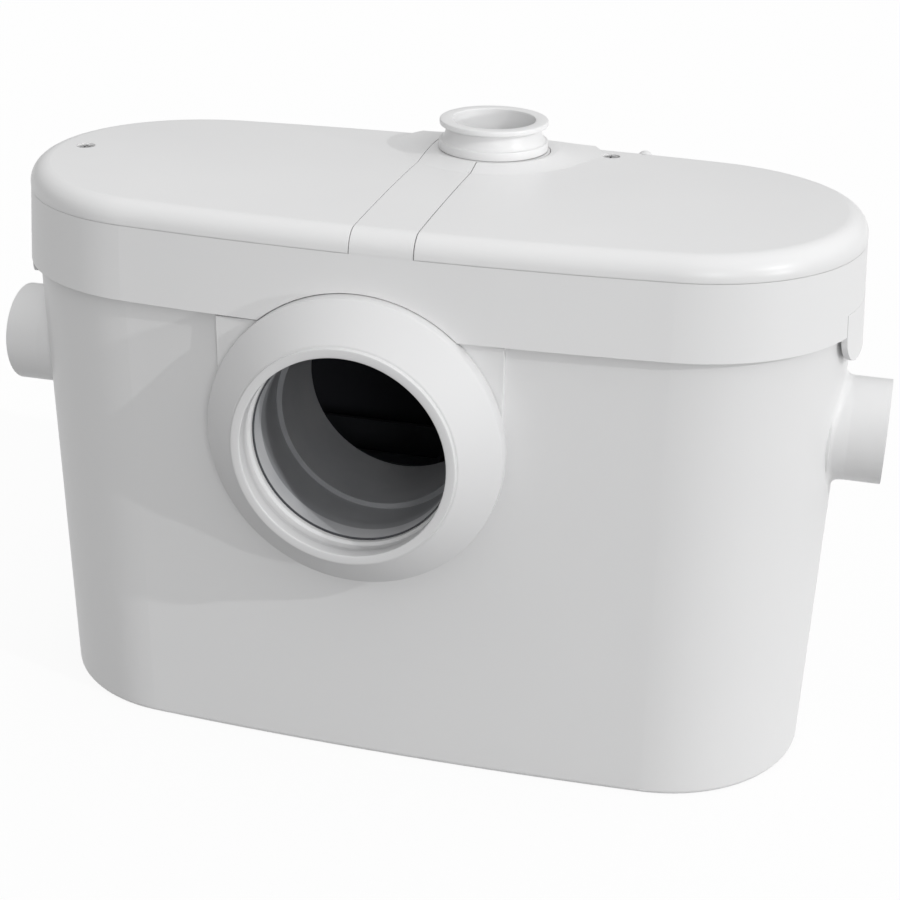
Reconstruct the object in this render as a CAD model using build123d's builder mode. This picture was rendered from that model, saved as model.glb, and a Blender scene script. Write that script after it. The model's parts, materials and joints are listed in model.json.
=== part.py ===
from build123d import *
from math import atan2, cos, sin
import os

os.makedirs("parts", exist_ok=True)

# A floor-standing macerator pump for a toilet outlet, in millimetres.
# X runs along the tank, Y points to the wall behind it and Z points up.
# The origin lies on the floor, under the middle of the tank.

# Clearances shared by many pieces
overrun = 2.0            # how far a cutting body runs past what it cuts
body_gap = 0.4           # between pieces that move apart
snug_gap = 0.1           # radial gap of pieces that stay together
running_gap = 0.05       # radial gap of a shaft or a pin in its bore
weld = 0.6               # how deep one feature of a piece roots in another

# Tank
tank_height = 240.0
tank_wall = 3.0
tank_floor = 3.5
floor_half_length = 196.9
floor_half_depth = 77.7
floor_end_radius = 74.0
foot_radius = 2.5

# Lid, whose skirt stands round the rim of the tank
lid_half_length = 202.5
lid_half_depth = 89.3
lid_end_radius = 83.5
lid_height = 47.2
lid_overlap = 8.6
lid_wall = 2.5
lid_flare = 2.4
lid_crown = 2.0
lid_edge_radius = 9.75
skirt_gap = 0.9
lid_bottom = tank_height - lid_overlap
lid_top = lid_bottom + lid_height
seam_drop = 0.3
seam_z = lid_top - lid_crown - lid_edge_radius - seam_drop
lid_shoulder = seam_z - seam_drop
bridge_left = -15.8
bridge_right = 13.3
bridge_wall = 3.0
ledge_width = 6.0
seam_gap = 0.4

# Deck that closes the tank under the lid, on its seal
seal_height = 2.0
deck_wall = 3.0
deck_bottom = tank_height + seal_height
deck_top = deck_bottom + deck_wall
clamp_width = 4.0
clamp_wall = 2.5

# Pan inlet on the front of the tank
inlet_x = -12.2
inlet_z = 178.5
pad_radius = 67.2
pad_face = 88.6
collar_back = pad_face + body_gap
collar_rim_radius = 70.0
collar_rim_width = 7.5
collar_front = 113.0
collar_ring_radius = 52.6
collar_bore = 48.2
collar_land = 9.5
collar_relief = 49.6
collar_skin = 3.2
duct_radius = 50.5
duct_bore = 47.5
duct_front = 95.5
duct_end = 14.0
duct_flange_radius = 57.0
duct_flange_wall = 3.0
duct_body_radius = 52.5
duct_relief = 49.2
duct_lip_bore = 46.6
duct_lip_width = 3.0
duct_lip_place = 60.0
pad_root = 46.0
gasket_wall = 2.0
cutout_radius = collar_rim_radius + body_gap

# Side inlets
spigot_radius = 25.05
spigot_bore = 22.6
spigot_length = 19.4
spigot_reach = lid_half_length + spigot_length
spigot_inset = 12.9
spigot_inner = floor_half_length - spigot_inset
spigot_z = 175.0
spigot_root_fillet = 4.0
spigot_land = 17.0
spigot_taper = 1.2
spigot_taper_length = 15.0
spigot_stub_step = 2.0
spigot_stub_radius = spigot_radius + spigot_stub_step
seat_ring_wall = 4.0
seat_ring_radius = 28.0
seat_ring_bore = 20.0
side_flap_radius = 22.5
side_flap_wall = 2.5
side_pin_rise = 28.0
flap_pin_radius = 1.5
flap_pin_length = 24.0
knuckle_radius = 3.0
knuckle_width = 14.0
lug_width = 3.5
header_height = 9.0

# Discharge neck on the lid
neck_x = 15.0
neck_y = 52.0
neck_rise = 2.4
neck_seat = lid_top + neck_rise
neck_base_radius = 27.3
neck_base_height = 4.3
neck_ledge_radius = 26.0
neck_waist_radius = 23.6
neck_flange_radius = 27.1
neck_flange_wall = 2.8
neck_height = 14.6
neck_top = neck_seat + neck_height
neck_bore = 20.7
neck_wall = 2.5
neck_pipe_length = 39.0
neck_pipe_bottom = neck_seat - neck_pipe_length
swell_radius = 56.0
pad_ring_margin = 1.2
pad_ring_radius = neck_base_radius + pad_ring_margin
lock_ring_wall = 4.5
lock_ring_radius = 27.0

# Pump axis, along X, and the pump parts on it
axis_z = 78.0
shaft_radius = 5.0
volute_radius = 46.0
volute_pocket = 40.0
volute_pocket_width = 18.0
volute_wall = 3.0
volute_middle = neck_x
volute_front = volute_middle - volute_pocket_width / 2 - volute_wall
volute_back = volute_middle + volute_pocket_width / 2 + volute_wall
suction_radius = 14.0
outlet_y = 27.0
outlet_radius = 11.5
outlet_bore = 9.0
outlet_throat = 8.5
outlet_top = 132.0
impeller_radius = 32.0
impeller_hub_radius = 9.0
impeller_disc_wall = 2.5
impeller_clearance = 2.0
impeller_vane_wall = 2.5
impeller_vanes = 5
seal_radius = 12.0
screw_circle = 43.0
screw_radius = 2.0
screw_head_radius = 3.6
screw_head_height = 2.4
volute_screws_count = 4
volute_screws_start = 100.0
volute_screws_sweep = 240.0

# Macerator basket and cutter
basket_radius = 50.0
basket_wall = 2.5
basket_length = 91.0
basket_hole_radius = 3.0
basket_hole_rows = 7
basket_hole_columns = 8
basket_hole_sweep = 130.0
basket_eye = 16.0
basket_foot_wall = 4.0
basket_foot_width = 44.0
basket_foot_pitch = 66.0
blade_radius = 40.0
blade_width = 15.0
blade_wall = 2.2
blade_spacing = 3.8
blade_lead = 18.8
sleeve_radius = 8.0
nut_radius = 8.5
nut_height = 7.0

# Motor
motor_radius = 48.0
motor_wall = 3.0
motor_front_wall = 6.0
motor_length = 107.0
motor_flange_radius = 54.0
motor_flange_wall = 6.0
motor_cap_wall = 8.0
bearing_radius = 13.0
bearing_width = 9.0
bearing_boss_radius = 17.0
bearing_boss_length = 11.0
bearing_inset = 1.0
stator_radius = 44.6
stator_bore = 24.8
stator_place = 31.0
stator_rear_room = 22.0
stator_length = motor_length - stator_place - stator_rear_room
winding_length = 8.0
winding_outer = 41.0
winding_inner = 27.5
rotor_radius = 24.0
cap_screw_circle = 51.0
cap_screws_count = 4
cradle_length = 64.0
cradle_width = 70.0
cradle_rib = 10.0
cradle_base = 4.0
cradle_drop = 33.0
motor_pad_height = 4.5
motor_pad_length = 20.0
motor_pad_width = 16.0
lead_radius = 3.1
lead_bore = 3.4
lead_x = 100.0
lead_y = -42.0
lead_rise = 10.0
lead_first_bend = 160.0
lead_second_bend = 205.0
lead_bend_radius = 38.0
lead_turn_radius = 7.5
grommet_radius = 6.0
grommet_flange_radius = 8.0
grommet_flange = 2.0
clip_width = 8.0
clip_depth = 12.0
clip_cover = 3.0
clip_pitch = 122.0

# Discharge pipe and its non-return valve
pipe_bend_low = 148.0
pipe_bend_high = 182.0
pipe_bend_radius = 20.0
pipe_top = 200.0
sleeve_wall = 3.0
sleeve_below = 5.0
sleeve_above = 9.0
valve_bottom = 189.0
valve_seat_wall = 4.0
valve_seat_bore = 9.5
valve_bore = 25.2
valve_wall = 3.0
valve_top = 256.0
valve_flange_radius = 31.0
valve_flange_wall = 3.0
valve_flap_radius = 15.5
valve_flap_wall = 3.0
valve_pin_offset = 19.5
valve_pin_rise = 4.0
valve_lug_rise = 9.0
o_ring_height = 3.0
o_ring_z = 247.0

# Level sensing: bell, diaphragm and switch
bell_x = -120.0
bell_y = 46.0
bell_radius = 15.0
bell_wall = 2.5
bell_bottom = 12.0
bell_mouth_radius = 19.0
bell_mouth_height = 10.0
bell_flange_wall = 2.5
switch_radius = 19.0
switch_base_wall = 4.5
switch_base_bore = 13.0
diaphragm_wall = 1.0
switch_cap_height = 10.0
switch_cap_wall = 2.5
plunger_radius = 2.5
plunger_disc_radius = 11.0
plunger_disc_wall = 1.5
plunger_length = 12.0
plunger_travel = 2.0
micro_length = 19.8
micro_width = 10.2
micro_height = 6.4
micro_lead_radius = 1.8
micro_lead_rise = 4.0
micro_lead_drop = 11.5
micro_lead_bend = 4.0

# Dry electrical box on the deck
box_x = -133.0
box_y = -18.0
box_length = 66.0
box_width = 62.0
box_height = 19.0
box_wall = 2.5
box_cover_wall = 2.5
box_corner = 5.0
capacitor_radius = 7.5
capacitor_length = 38.0
capacitor_x = -140.0
capacitor_y = -2.0
block_x = -118.0
block_y = -33.0
block_length = 16.0
block_width = 24.0
block_height = 9.0
gland_x = -78.0
gland_drop = 21.6
gland_z = lid_top - gland_drop
gland_radius = 7.5
gland_bore = 3.7
gland_reach = 8.0
gland_shank = 6.0
gland_nut_radius = 8.0
gland_nut_wall = 4.0

# Access port over the basket
port_x = -56.0
port_length = 62.0
port_width = 52.0
port_margin = 6.0
port_cover_wall = 2.5

# Hatch screws, with the lugs that take them
left_screw_x = -180.6
left_screw_y = -2.2
right_screw_x = 72.1
right_screw_y = 67.7
hatch_recess_radius = 4.6
hatch_recess_depth = 1.6
hatch_head_radius = 4.1
hatch_head_height = 1.3
hatch_shank_radius = 1.9
hatch_shank_length = 18.0
hatch_boss_radius = 6.0
hatch_boss_drop = 9.5
lug_radius = 7.0
lug_height = 9.0
cross_width = 0.9
cross_length = 4.6

# Vent cap at the back of the right hatch
vent_x = 86.8
vent_drop = 6.0
vent_z = lid_top - vent_drop
vent_radius = 4.3
vent_length = 11.0

# Latch tabs at both ends of the lid
tab_half_width = 31.0
tab_drop = 14.4
tab_bottom = lid_bottom - tab_drop
tab_root = 10.2
tab_top = lid_bottom + tab_root
tab_corner = 12.0
tab_gap = 0.6
barb_reach = 1.4
barb_height = 3.0
barb_half_width = 18.0
catch_reach = 1.0
catch_height = 3.0
catch_drop = 9.4
catch_z = lid_bottom - catch_drop
catch_half_width = 18.0


# A four-centre oval: two long side arcs meet two end arcs without a corner.
def oval(half_length, half_depth, end_radius, mode=Mode.ADD):
    end_x = half_length - end_radius
    side_radius = (end_x**2 + half_depth**2 - end_radius**2) / (2 * (half_depth - end_radius))
    turn = atan2(side_radius - half_depth, end_x)
    joint_x = end_x + end_radius * cos(turn)
    joint_y = end_radius * sin(turn)
    with BuildLine() as outline:
        ThreePointArc((joint_x, joint_y), (0, half_depth), (-joint_x, joint_y))
        ThreePointArc((-joint_x, joint_y), (-half_length, 0), (-joint_x, -joint_y))
        ThreePointArc((-joint_x, -joint_y), (0, -half_depth), (joint_x, -joint_y))
        ThreePointArc((joint_x, -joint_y), (half_length, 0), (joint_x, joint_y))
    make_face(outline.edges(), mode=mode)


# Half-length, half-depth and end radius of the lid's outside at a height.
def lid_size(height, inset):
    share = max(0, lid_shoulder - height) / (lid_shoulder - lid_bottom)
    grow = lid_flare * share - inset
    return lid_half_length + grow, lid_half_depth + grow, lid_end_radius + grow


# The tank widens in a straight line from the floor to its rim inside the skirt.
def tank_size(height, inset):
    rim = lid_size(tank_height, lid_wall + skirt_gap)
    foot = (floor_half_length, floor_half_depth, floor_end_radius)
    share = height / tank_height
    return tuple(low + (high - low) * share - inset for low, high in zip(foot, rim))


# How far back the long side of an oval stands at a place along X.
def side_y(x, half_length, half_depth, end_radius):
    end_x = half_length - end_radius
    side_radius = (end_x**2 + half_depth**2 - end_radius**2) / (2 * (half_depth - end_radius))
    return (side_radius**2 - x**2) ** 0.5 - side_radius + half_depth


# The height of the crowned top of the lid above a point on the Y axis.
def crown_z(y):
    return lid_top - lid_crown * (y / lid_half_depth) ** 2


# The outside of the lid as one solid, drawn in by an inset on every side.
def lid_shape(inset, bottom):
    with BuildPart() as shape:
        with BuildSketch(Plane.XY.offset(bottom)):
            oval(*lid_size(bottom, inset))
        with BuildSketch(Plane.XY.offset(lid_shoulder)):
            oval(*lid_size(lid_shoulder, inset))
        loft(ruled=True)
        with BuildSketch(Plane.XY.offset(lid_shoulder)):
            oval(*lid_size(lid_shoulder, inset))
        extrude(amount=lid_top - lid_shoulder + overrun)
        low = bottom - overrun
        high = lid_top - inset
        with BuildSketch(Plane.YZ.offset(-lid_half_length - lid_flare - overrun)):
            with BuildLine():
                Polyline(
                    (-lid_half_depth, high - lid_crown),
                    (-lid_half_depth - lid_edge_radius, high - lid_crown),
                    (-lid_half_depth - lid_edge_radius, low),
                    (lid_half_depth + lid_edge_radius, low),
                    (lid_half_depth + lid_edge_radius, high - lid_crown),
                    (lid_half_depth, high - lid_crown),
                )
                ThreePointArc(
                    (lid_half_depth, high - lid_crown), (0, high), (-lid_half_depth, high - lid_crown)
                )
            make_face()
        extrude(amount=2 * (lid_half_length + lid_flare + overrun), mode=Mode.INTERSECT)
        top_face = shape.faces().sort_by(Axis.Z)[-1]
        fillet(top_face.edges(), lid_edge_radius - inset)
    return shape.part


# A soft rise of the lid's top round the foot of the neck.
def neck_swell():
    raise_by = neck_seat - lid_top + weld
    neck_plane = Plane(origin=(neck_x, neck_y, 0), x_dir=(1, 0, 0), z_dir=(0, -1, 0))
    rise_share = 0.25
    swell_low = lid_top - lid_crown / 2
    middle = (pad_ring_radius + swell_radius) / 2
    with BuildPart() as swell:
        with BuildSketch(neck_plane):
            with BuildLine():
                Polyline(
                    (pad_ring_radius, neck_seat),
                    (0, neck_seat),
                    (0, lid_shoulder),
                    (swell_radius, lid_shoulder),
                    (swell_radius, swell_low),
                )
                ThreePointArc(
                    (swell_radius, swell_low),
                    (middle, swell_low + (neck_seat - swell_low) * rise_share),
                    (pad_ring_radius, neck_seat),
                )
            make_face()
        revolve(axis=Axis((neck_x, neck_y, 0), (0, 0, 1)))
        add(lid_shape(weld, lid_bottom).moved(Location((0, 0, raise_by))), mode=Mode.INTERSECT)
    return swell.part


# The lid's outer skin between two insets, with the rise round the neck.
def lid_skin(top_inset, wall, with_swell):
    with BuildPart() as skin:
        add(lid_shape(top_inset, lid_bottom))
        if with_swell:
            add(neck_swell())
        add(lid_shape(top_inset + wall, lid_bottom - overrun), mode=Mode.SUBTRACT)
    return skin.part


# Tank with its inlet pad, the two side spigots and the catches for the lid
with BuildPart() as tank:
    with BuildSketch():
        oval(*tank_size(0, 0))
    with BuildSketch(Plane.XY.offset(tank_height)):
        oval(*tank_size(tank_height, 0))
    loft(ruled=True)
    with BuildSketch(Plane.YZ.offset(-spigot_reach)):
        with Locations((0, spigot_z)):
            Circle(spigot_radius)
    extrude(amount=2 * spigot_reach)
    for side in (-1, 1):
        with BuildSketch(Plane.YZ.offset(side * (spigot_reach - spigot_land))):
            with Locations((0, spigot_z)):
                Circle(spigot_radius)
        with BuildSketch(Plane.YZ.offset(side * (spigot_reach - spigot_land - spigot_taper_length))):
            with Locations((0, spigot_z)):
                Circle(spigot_radius + spigot_taper)
        loft(ruled=True)
    roots = tank.edges().filter_by(GeomType.CIRCLE, reverse=True)
    roots = roots.filter_by(lambda edge: abs(edge.center().Z - spigot_z) < spigot_radius)
    fillet(roots.filter_by(lambda edge: abs(edge.center().X) < spigot_reach - overrun), spigot_root_fillet)
    fillet(tank.faces().sort_by(Axis.Z)[0].edges(), foot_radius)
    with BuildSketch(Plane.XZ.offset(pad_face)):
        with Locations((inlet_x, inlet_z)):
            Circle(pad_radius)
        with Locations((inlet_x, (inlet_z + lid_bottom - skirt_gap) / 2)):
            Rectangle(2 * pad_radius, lid_bottom - skirt_gap - inlet_z)
    extrude(amount=-(pad_face - pad_root))
    split(bisect_by=Plane.XY.offset(tank_height), keep=Keep.BOTTOM)
    with BuildSketch(Plane.XY.offset(tank_floor)):
        oval(*tank_size(tank_floor, tank_wall))
    with BuildSketch(Plane.XY.offset(tank_height + overrun)):
        oval(*tank_size(tank_height + overrun, tank_wall))
    loft(ruled=True, mode=Mode.SUBTRACT)
    with BuildSketch(Plane.XZ.offset(pad_face - tank_wall)):
        with Locations((inlet_x, inlet_z)):
            Circle(pad_radius - tank_wall)
        with Locations((inlet_x, tank_height - tank_wall + pad_radius)):
            Rectangle(2 * pad_radius, 2 * pad_radius, mode=Mode.SUBTRACT)
    extrude(amount=-(pad_face - tank_wall - pad_root), mode=Mode.SUBTRACT)
    with BuildSketch(Plane.XZ.offset(pad_face + overrun)):
        with Locations((inlet_x, inlet_z)):
            Circle(duct_radius + body_gap)
    extrude(amount=-(2 * overrun + tank_wall), mode=Mode.SUBTRACT)
    stub = floor_half_length - spigot_inner
    for side in (-1, 1):
        with BuildSketch(Plane.YZ.offset(side * spigot_inner)):
            with Locations((0, spigot_z)):
                Circle(spigot_stub_radius)
        extrude(amount=side * stub)
    with BuildSketch(Plane.YZ.offset(-spigot_reach - overrun)):
        with Locations((0, spigot_z)):
            Circle(spigot_bore)
    extrude(amount=2 * (spigot_reach + overrun), mode=Mode.SUBTRACT)
    with BuildSketch(Plane.XY.offset(catch_z)):
        oval(*tank_size(catch_z, -catch_reach))
        oval(*tank_size(catch_z, tank_wall / 2), mode=Mode.SUBTRACT)
        Rectangle(2 * spigot_inner, 2 * lid_half_depth, mode=Mode.SUBTRACT)
        for side in (-1, 1):
            with Locations((0, side * (catch_half_width + lid_half_depth))):
                Rectangle(2 * lid_half_length, 2 * lid_half_depth, mode=Mode.SUBTRACT)
    extrude(amount=catch_height)
tank.part.label = "tank"
export_step(tank.part, "parts/tank.step")


# Lid frame: skirt, clamp ring, bridge with the neck's seat, screw lugs.
# It is one moulding, kept as three lengths that meet face to face.
bridge_depth = lid_wall + seam_gap + bridge_wall
with BuildPart() as bridge:
    add(lid_skin(0, bridge_depth, True))
    with BuildSketch(Plane.XY.offset(lid_shoulder - lid_edge_radius)):
        with Locations(((bridge_left + bridge_right) / 2, 0)):
            Rectangle(bridge_right - bridge_left, 2 * lid_half_depth + 2 * lid_flare)
        with Locations((neck_x, neck_y)):
            Circle(pad_ring_radius)
    extrude(amount=2 * lid_height, mode=Mode.INTERSECT)

with BuildPart() as bridge_ledges:
    add(lid_skin(lid_wall + seam_gap, bridge_wall, False))
    with BuildSketch(Plane.XY.offset(seam_z + lid_wall)):
        with Locations(((bridge_left + bridge_right) / 2, 0)):
            Rectangle(bridge_right - bridge_left + 2 * ledge_width, 2 * lid_half_depth)
        with Locations((neck_x, neck_y)):
            Circle(pad_ring_radius + ledge_width)
    extrude(amount=2 * lid_height, mode=Mode.INTERSECT)

with BuildPart() as lid_frame:
    add(lid_skin(0, lid_wall, False))
    split(bisect_by=Plane.XY.offset(seam_z), keep=Keep.BOTTOM)
    add(bridge.part)
    add(bridge_ledges.part)
    with BuildSketch(Plane.XY.offset(deck_top)):
        oval(*lid_size(deck_top, lid_wall - weld))
        oval(*lid_size(deck_top, lid_wall + skirt_gap + clamp_width), mode=Mode.SUBTRACT)
    extrude(amount=clamp_wall)
    lug_bottom = seam_z - lid_wall - lug_height
    lug_web = lug_radius
    with BuildSketch(Plane.XY.offset(lug_bottom)):
        with Locations((left_screw_x, left_screw_y), (right_screw_x, right_screw_y)):
            Circle(lug_radius)
        with Locations(((left_screw_x - lid_half_length + lid_wall - weld) / 2, left_screw_y)):
            Rectangle(lid_half_length + left_screw_x - lid_wall + weld, lug_web)
        right_side = lid_half_depth - lid_wall - weld
        with Locations((right_screw_x, (right_screw_y + right_side) / 2)):
            Rectangle(lug_web, right_side - right_screw_y)
        with Locations((left_screw_x, left_screw_y), (right_screw_x, right_screw_y)):
            Circle(hatch_shank_radius + body_gap, mode=Mode.SUBTRACT)
    extrude(amount=lug_height)
    with BuildSketch(Plane.XZ.offset(lid_half_depth + lid_flare + overrun)):
        with Locations((inlet_x, inlet_z)):
            Circle(cutout_radius)
    extrude(amount=-(lid_flare + overrun + lid_wall + skirt_gap + lid_crown), mode=Mode.SUBTRACT)
    for side in (-1, 1):
        with BuildSketch(Plane.XY.offset(lid_bottom - overrun)):
            with Locations((side * lid_half_length, 0)):
                Rectangle(2 * tab_corner, 2 * tab_half_width + 2 * tab_gap)
        extrude(amount=tab_top + snug_gap - lid_bottom + overrun, mode=Mode.SUBTRACT)
    with BuildSketch(Plane.XY.offset(lid_shoulder)):
        with Locations((neck_x, neck_y)):
            Circle(neck_bore + neck_wall + snug_gap)
    extrude(amount=lid_height, mode=Mode.SUBTRACT)
    with BuildSketch(Plane.XZ.offset(-lid_half_depth - lid_flare)):
        with Locations((gland_x, gland_z)):
            Circle(gland_shank + snug_gap)
    extrude(amount=2 * lid_edge_radius, mode=Mode.SUBTRACT)
    for place in (bridge_left - ledge_width, neck_x + pad_ring_radius + ledge_width):
        split(bisect_by=Plane.YZ.offset(place), keep=Keep.BOTH)
lid_frame.part.label = "lid_frame"
export_step(lid_frame.part, "parts/lid_frame.step")


# Latch tab at one end of the lid, in the line of the skirt, with an inner barb
def latch_tab(side):
    end_x = side * lid_half_length
    with BuildPart() as tab:
        with BuildSketch(Plane.XY.offset(tab_bottom)):
            oval(*lid_size(tab_bottom, 0))
            oval(*lid_size(tab_bottom, lid_wall), mode=Mode.SUBTRACT)
        with BuildSketch(Plane.XY.offset(tab_top)):
            oval(*lid_size(tab_top, 0))
            oval(*lid_size(tab_top, lid_wall), mode=Mode.SUBTRACT)
        loft(ruled=True)
        with BuildSketch(Plane.XY.offset(tab_bottom)):
            oval(*lid_size(tab_bottom, lid_wall - weld))
            oval(*lid_size(tab_bottom, lid_wall + barb_reach), mode=Mode.SUBTRACT)
            for edge in (-1, 1):
                with Locations((0, edge * (barb_half_width + lid_half_depth))):
                    Rectangle(2 * lid_half_length, 2 * lid_half_depth, mode=Mode.SUBTRACT)
        extrude(amount=barb_height)
        with BuildSketch(Plane.YZ.offset(end_x - side * 2 * tab_corner)):
            with Locations((0, (tab_bottom + tab_top) / 2)):
                outline = Rectangle(2 * tab_half_width, tab_top - tab_bottom)
            fillet(outline.vertices().group_by(Axis.Y)[0], tab_corner)
        extrude(amount=side * 4 * tab_corner, mode=Mode.INTERSECT)
    return tab.part


# Hatch cover over one side of the lid, with a boss for its screw
def hatch(side, screw_x, screw_y):
    edge_x = bridge_right + seam_gap if side > 0 else bridge_left - seam_gap
    top = crown_z(screw_y)
    with BuildPart() as cover:
        add(lid_skin(0, lid_wall, True))
        with BuildSketch(Plane.XY.offset(seam_z + snug_gap)):
            with Locations((edge_x + side * lid_half_length, 0)):
                Rectangle(2 * lid_half_length, 4 * lid_half_depth)
        extrude(amount=2 * lid_height, mode=Mode.INTERSECT)
        with BuildSketch(Plane.XY.offset(top - hatch_boss_drop)):
            with Locations((screw_x, screw_y)):
                Circle(hatch_boss_radius)
        extrude(amount=hatch_boss_drop - lid_wall + weld)
        with BuildSketch(Plane.XY.offset(seam_z - overrun)):
            with Locations((neck_x, neck_y)):
                Circle(pad_ring_radius + seam_gap)
            with Locations((screw_x, screw_y)):
                Circle(hatch_shank_radius + snug_gap)
        extrude(amount=lid_height, mode=Mode.SUBTRACT)
        with BuildSketch(Plane.XY.offset(top - hatch_recess_depth)):
            with Locations((screw_x, screw_y)):
                Circle(hatch_recess_radius)
        extrude(amount=lid_height, mode=Mode.SUBTRACT)
        if side > 0:
            with BuildSketch(Plane.XZ.offset(-lid_half_depth - overrun)):
                with Locations((vent_x, vent_z)):
                    Circle(vent_radius + snug_gap)
            extrude(amount=vent_length + 2 * overrun, mode=Mode.SUBTRACT)
    return cover.part


# Cross-slot screw that stays in a hatch cover
def hatch_screw(screw_x, screw_y):
    seat = crown_z(screw_y) - hatch_recess_depth
    with BuildPart() as screw:
        with BuildSketch(Plane.XY.offset(seat)):
            with Locations((screw_x, screw_y)):
                Circle(hatch_head_radius)
        extrude(amount=hatch_head_height)
        fillet(screw.faces().sort_by(Axis.Z)[-1].edges(), hatch_head_height / 2)
        with BuildSketch(Plane.XY.offset(seat)):
            with Locations((screw_x, screw_y)):
                Circle(hatch_shank_radius)
        extrude(amount=-hatch_shank_length)
        with BuildSketch(Plane.XY.offset(seat + hatch_head_height / 3)):
            with Locations((screw_x, screw_y)):
                Rectangle(cross_length, cross_width)
                Rectangle(cross_width, cross_length)
        extrude(amount=hatch_head_height, mode=Mode.SUBTRACT)
    return screw.part


side_names = {-1: "left", 1: "right"}
screw_places = {-1: (left_screw_x, left_screw_y), 1: (right_screw_x, right_screw_y)}
for side, side_name in side_names.items():
    tab = latch_tab(side)
    tab.label = f"{side_name}_latch_tab"
    export_step(tab, f"parts/{side_name}_latch_tab.step")
    cover = hatch(side, *screw_places[side])
    cover.label = f"{side_name}_hatch_cover"
    export_step(cover, f"parts/{side_name}_hatch_cover.step")
    screw = hatch_screw(*screw_places[side])
    screw.label = f"{side_name}_hatch_screw"
    export_step(screw, f"parts/{side_name}_hatch_screw.step")

# Vent cap, a domed plug through the back of the right hatch
with BuildPart() as vent_cap:
    with BuildSketch(Plane.XZ.offset(-lid_half_depth)):
        with Locations((vent_x, vent_z)):
            Circle(vent_radius)
    extrude(amount=vent_length)
    fillet(vent_cap.faces().sort_by(Axis.Y)[-1].edges(), vent_radius - weld)
vent_cap.part.label = "vent_cap"
export_step(vent_cap.part, "parts/vent_cap.step")

# Discharge neck: foot, waist, hose flange and the pipe below the lid
neck_plane = Plane(origin=(neck_x, neck_y, 0), x_dir=(1, 0, 0), z_dir=(0, -1, 0))
neck_axis = Axis((neck_x, neck_y, 0), (0, 0, 1))
with BuildPart() as discharge_neck:
    with BuildSketch(neck_plane):
        ledge_z = neck_seat + neck_base_height
        waist_z = neck_top - neck_flange_wall
        waist_mid_radius = neck_waist_radius + (neck_ledge_radius - neck_waist_radius) / 4
        waist_mid_z = ledge_z + (waist_z - ledge_z) / 3
        with BuildLine():
            Polyline(
                (neck_waist_radius, waist_z),
                (neck_flange_radius, waist_z),
                (neck_flange_radius, neck_top),
                (neck_bore, neck_top),
                (neck_bore, neck_pipe_bottom),
                (neck_bore + neck_wall, neck_pipe_bottom),
                (neck_bore + neck_wall, neck_seat),
                (neck_base_radius, neck_seat),
                (neck_base_radius, ledge_z),
                (neck_ledge_radius, ledge_z),
            )
            ThreePointArc(
                (neck_ledge_radius, ledge_z),
                (waist_mid_radius, waist_mid_z),
                (neck_waist_radius, waist_z),
            )
        make_face()
    revolve(axis=neck_axis)
    flange_edges = discharge_neck.edges().filter_by(GeomType.CIRCLE)
    flange_edges = flange_edges.filter_by(lambda edge: edge.radius == neck_flange_radius)
    fillet(flange_edges, neck_flange_wall / 3)
discharge_neck.part.label = "discharge_neck"
export_step(discharge_neck.part, "parts/discharge_neck.step")


# A ring about an upright axis
def upright_ring(x, y, low, height, outer, bore):
    with BuildPart() as ring:
        with BuildSketch(Plane.XY.offset(low)):
            with Locations((x, y)):
                Circle(outer)
                Circle(bore, mode=Mode.SUBTRACT)
        extrude(amount=height)
    return ring.part


# Ring nut that holds the neck from below the bridge
bridge_under = crown_z(neck_y + lock_ring_radius) - bridge_depth - seam_gap
neck_lock_ring = upright_ring(
    neck_x, neck_y, bridge_under - lock_ring_wall, lock_ring_wall, lock_ring_radius,
    neck_bore + neck_wall + snug_gap,
)
neck_lock_ring.label = "neck_lock_ring"
export_step(neck_lock_ring, "parts/neck_lock_ring.step")

# Seal between the tank's rim and the deck
with BuildPart() as tank_seal:
    with BuildSketch(Plane.XY.offset(tank_height)):
        oval(*tank_size(tank_height, snug_gap))
        oval(*tank_size(tank_height, tank_wall - snug_gap), mode=Mode.SUBTRACT)
    extrude(amount=seal_height)
tank_seal.part.label = "tank_seal"
export_step(tank_seal.part, "parts/tank_seal.step")

# Deck with its holes for the valve, the bell, the lead and the access port
with BuildPart() as deck:
    with BuildSketch(Plane.XY.offset(deck_bottom)):
        oval(*tank_size(tank_height, snug_gap))
        with Locations((neck_x, neck_y)):
            Circle(valve_bore + valve_wall + snug_gap, mode=Mode.SUBTRACT)
        with Locations((bell_x, bell_y)):
            Circle(bell_radius + snug_gap, mode=Mode.SUBTRACT)
        with Locations((lead_x, lead_y)):
            Circle(grommet_radius + snug_gap, mode=Mode.SUBTRACT)
        with Locations((port_x, 0)):
            RectangleRounded(port_length, port_width, port_margin, mode=Mode.SUBTRACT)
    extrude(amount=deck_wall)
    for side in (-1, 1):
        split(bisect_by=Plane.YZ.offset(port_x + side * (port_length / 2 + port_margin)), keep=Keep.BOTH)
deck.part.label = "deck_plate"
export_step(deck.part, "parts/deck_plate.step")

# Access cover over the basket, with its four screws
cover_length = port_length + 2 * port_margin
cover_width = port_width + 2 * port_margin
with BuildPart() as access_cover:
    with BuildSketch(Plane.XY.offset(deck_top)):
        with Locations((port_x, 0)):
            RectangleRounded(cover_length, cover_width, port_margin)
            with GridLocations(port_length + port_margin, port_width + port_margin, 2, 2):
                Circle(screw_radius + snug_gap, mode=Mode.SUBTRACT)
    extrude(amount=port_cover_wall)
access_cover.part.label = "access_cover"
export_step(access_cover.part, "parts/access_cover.step")

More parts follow.
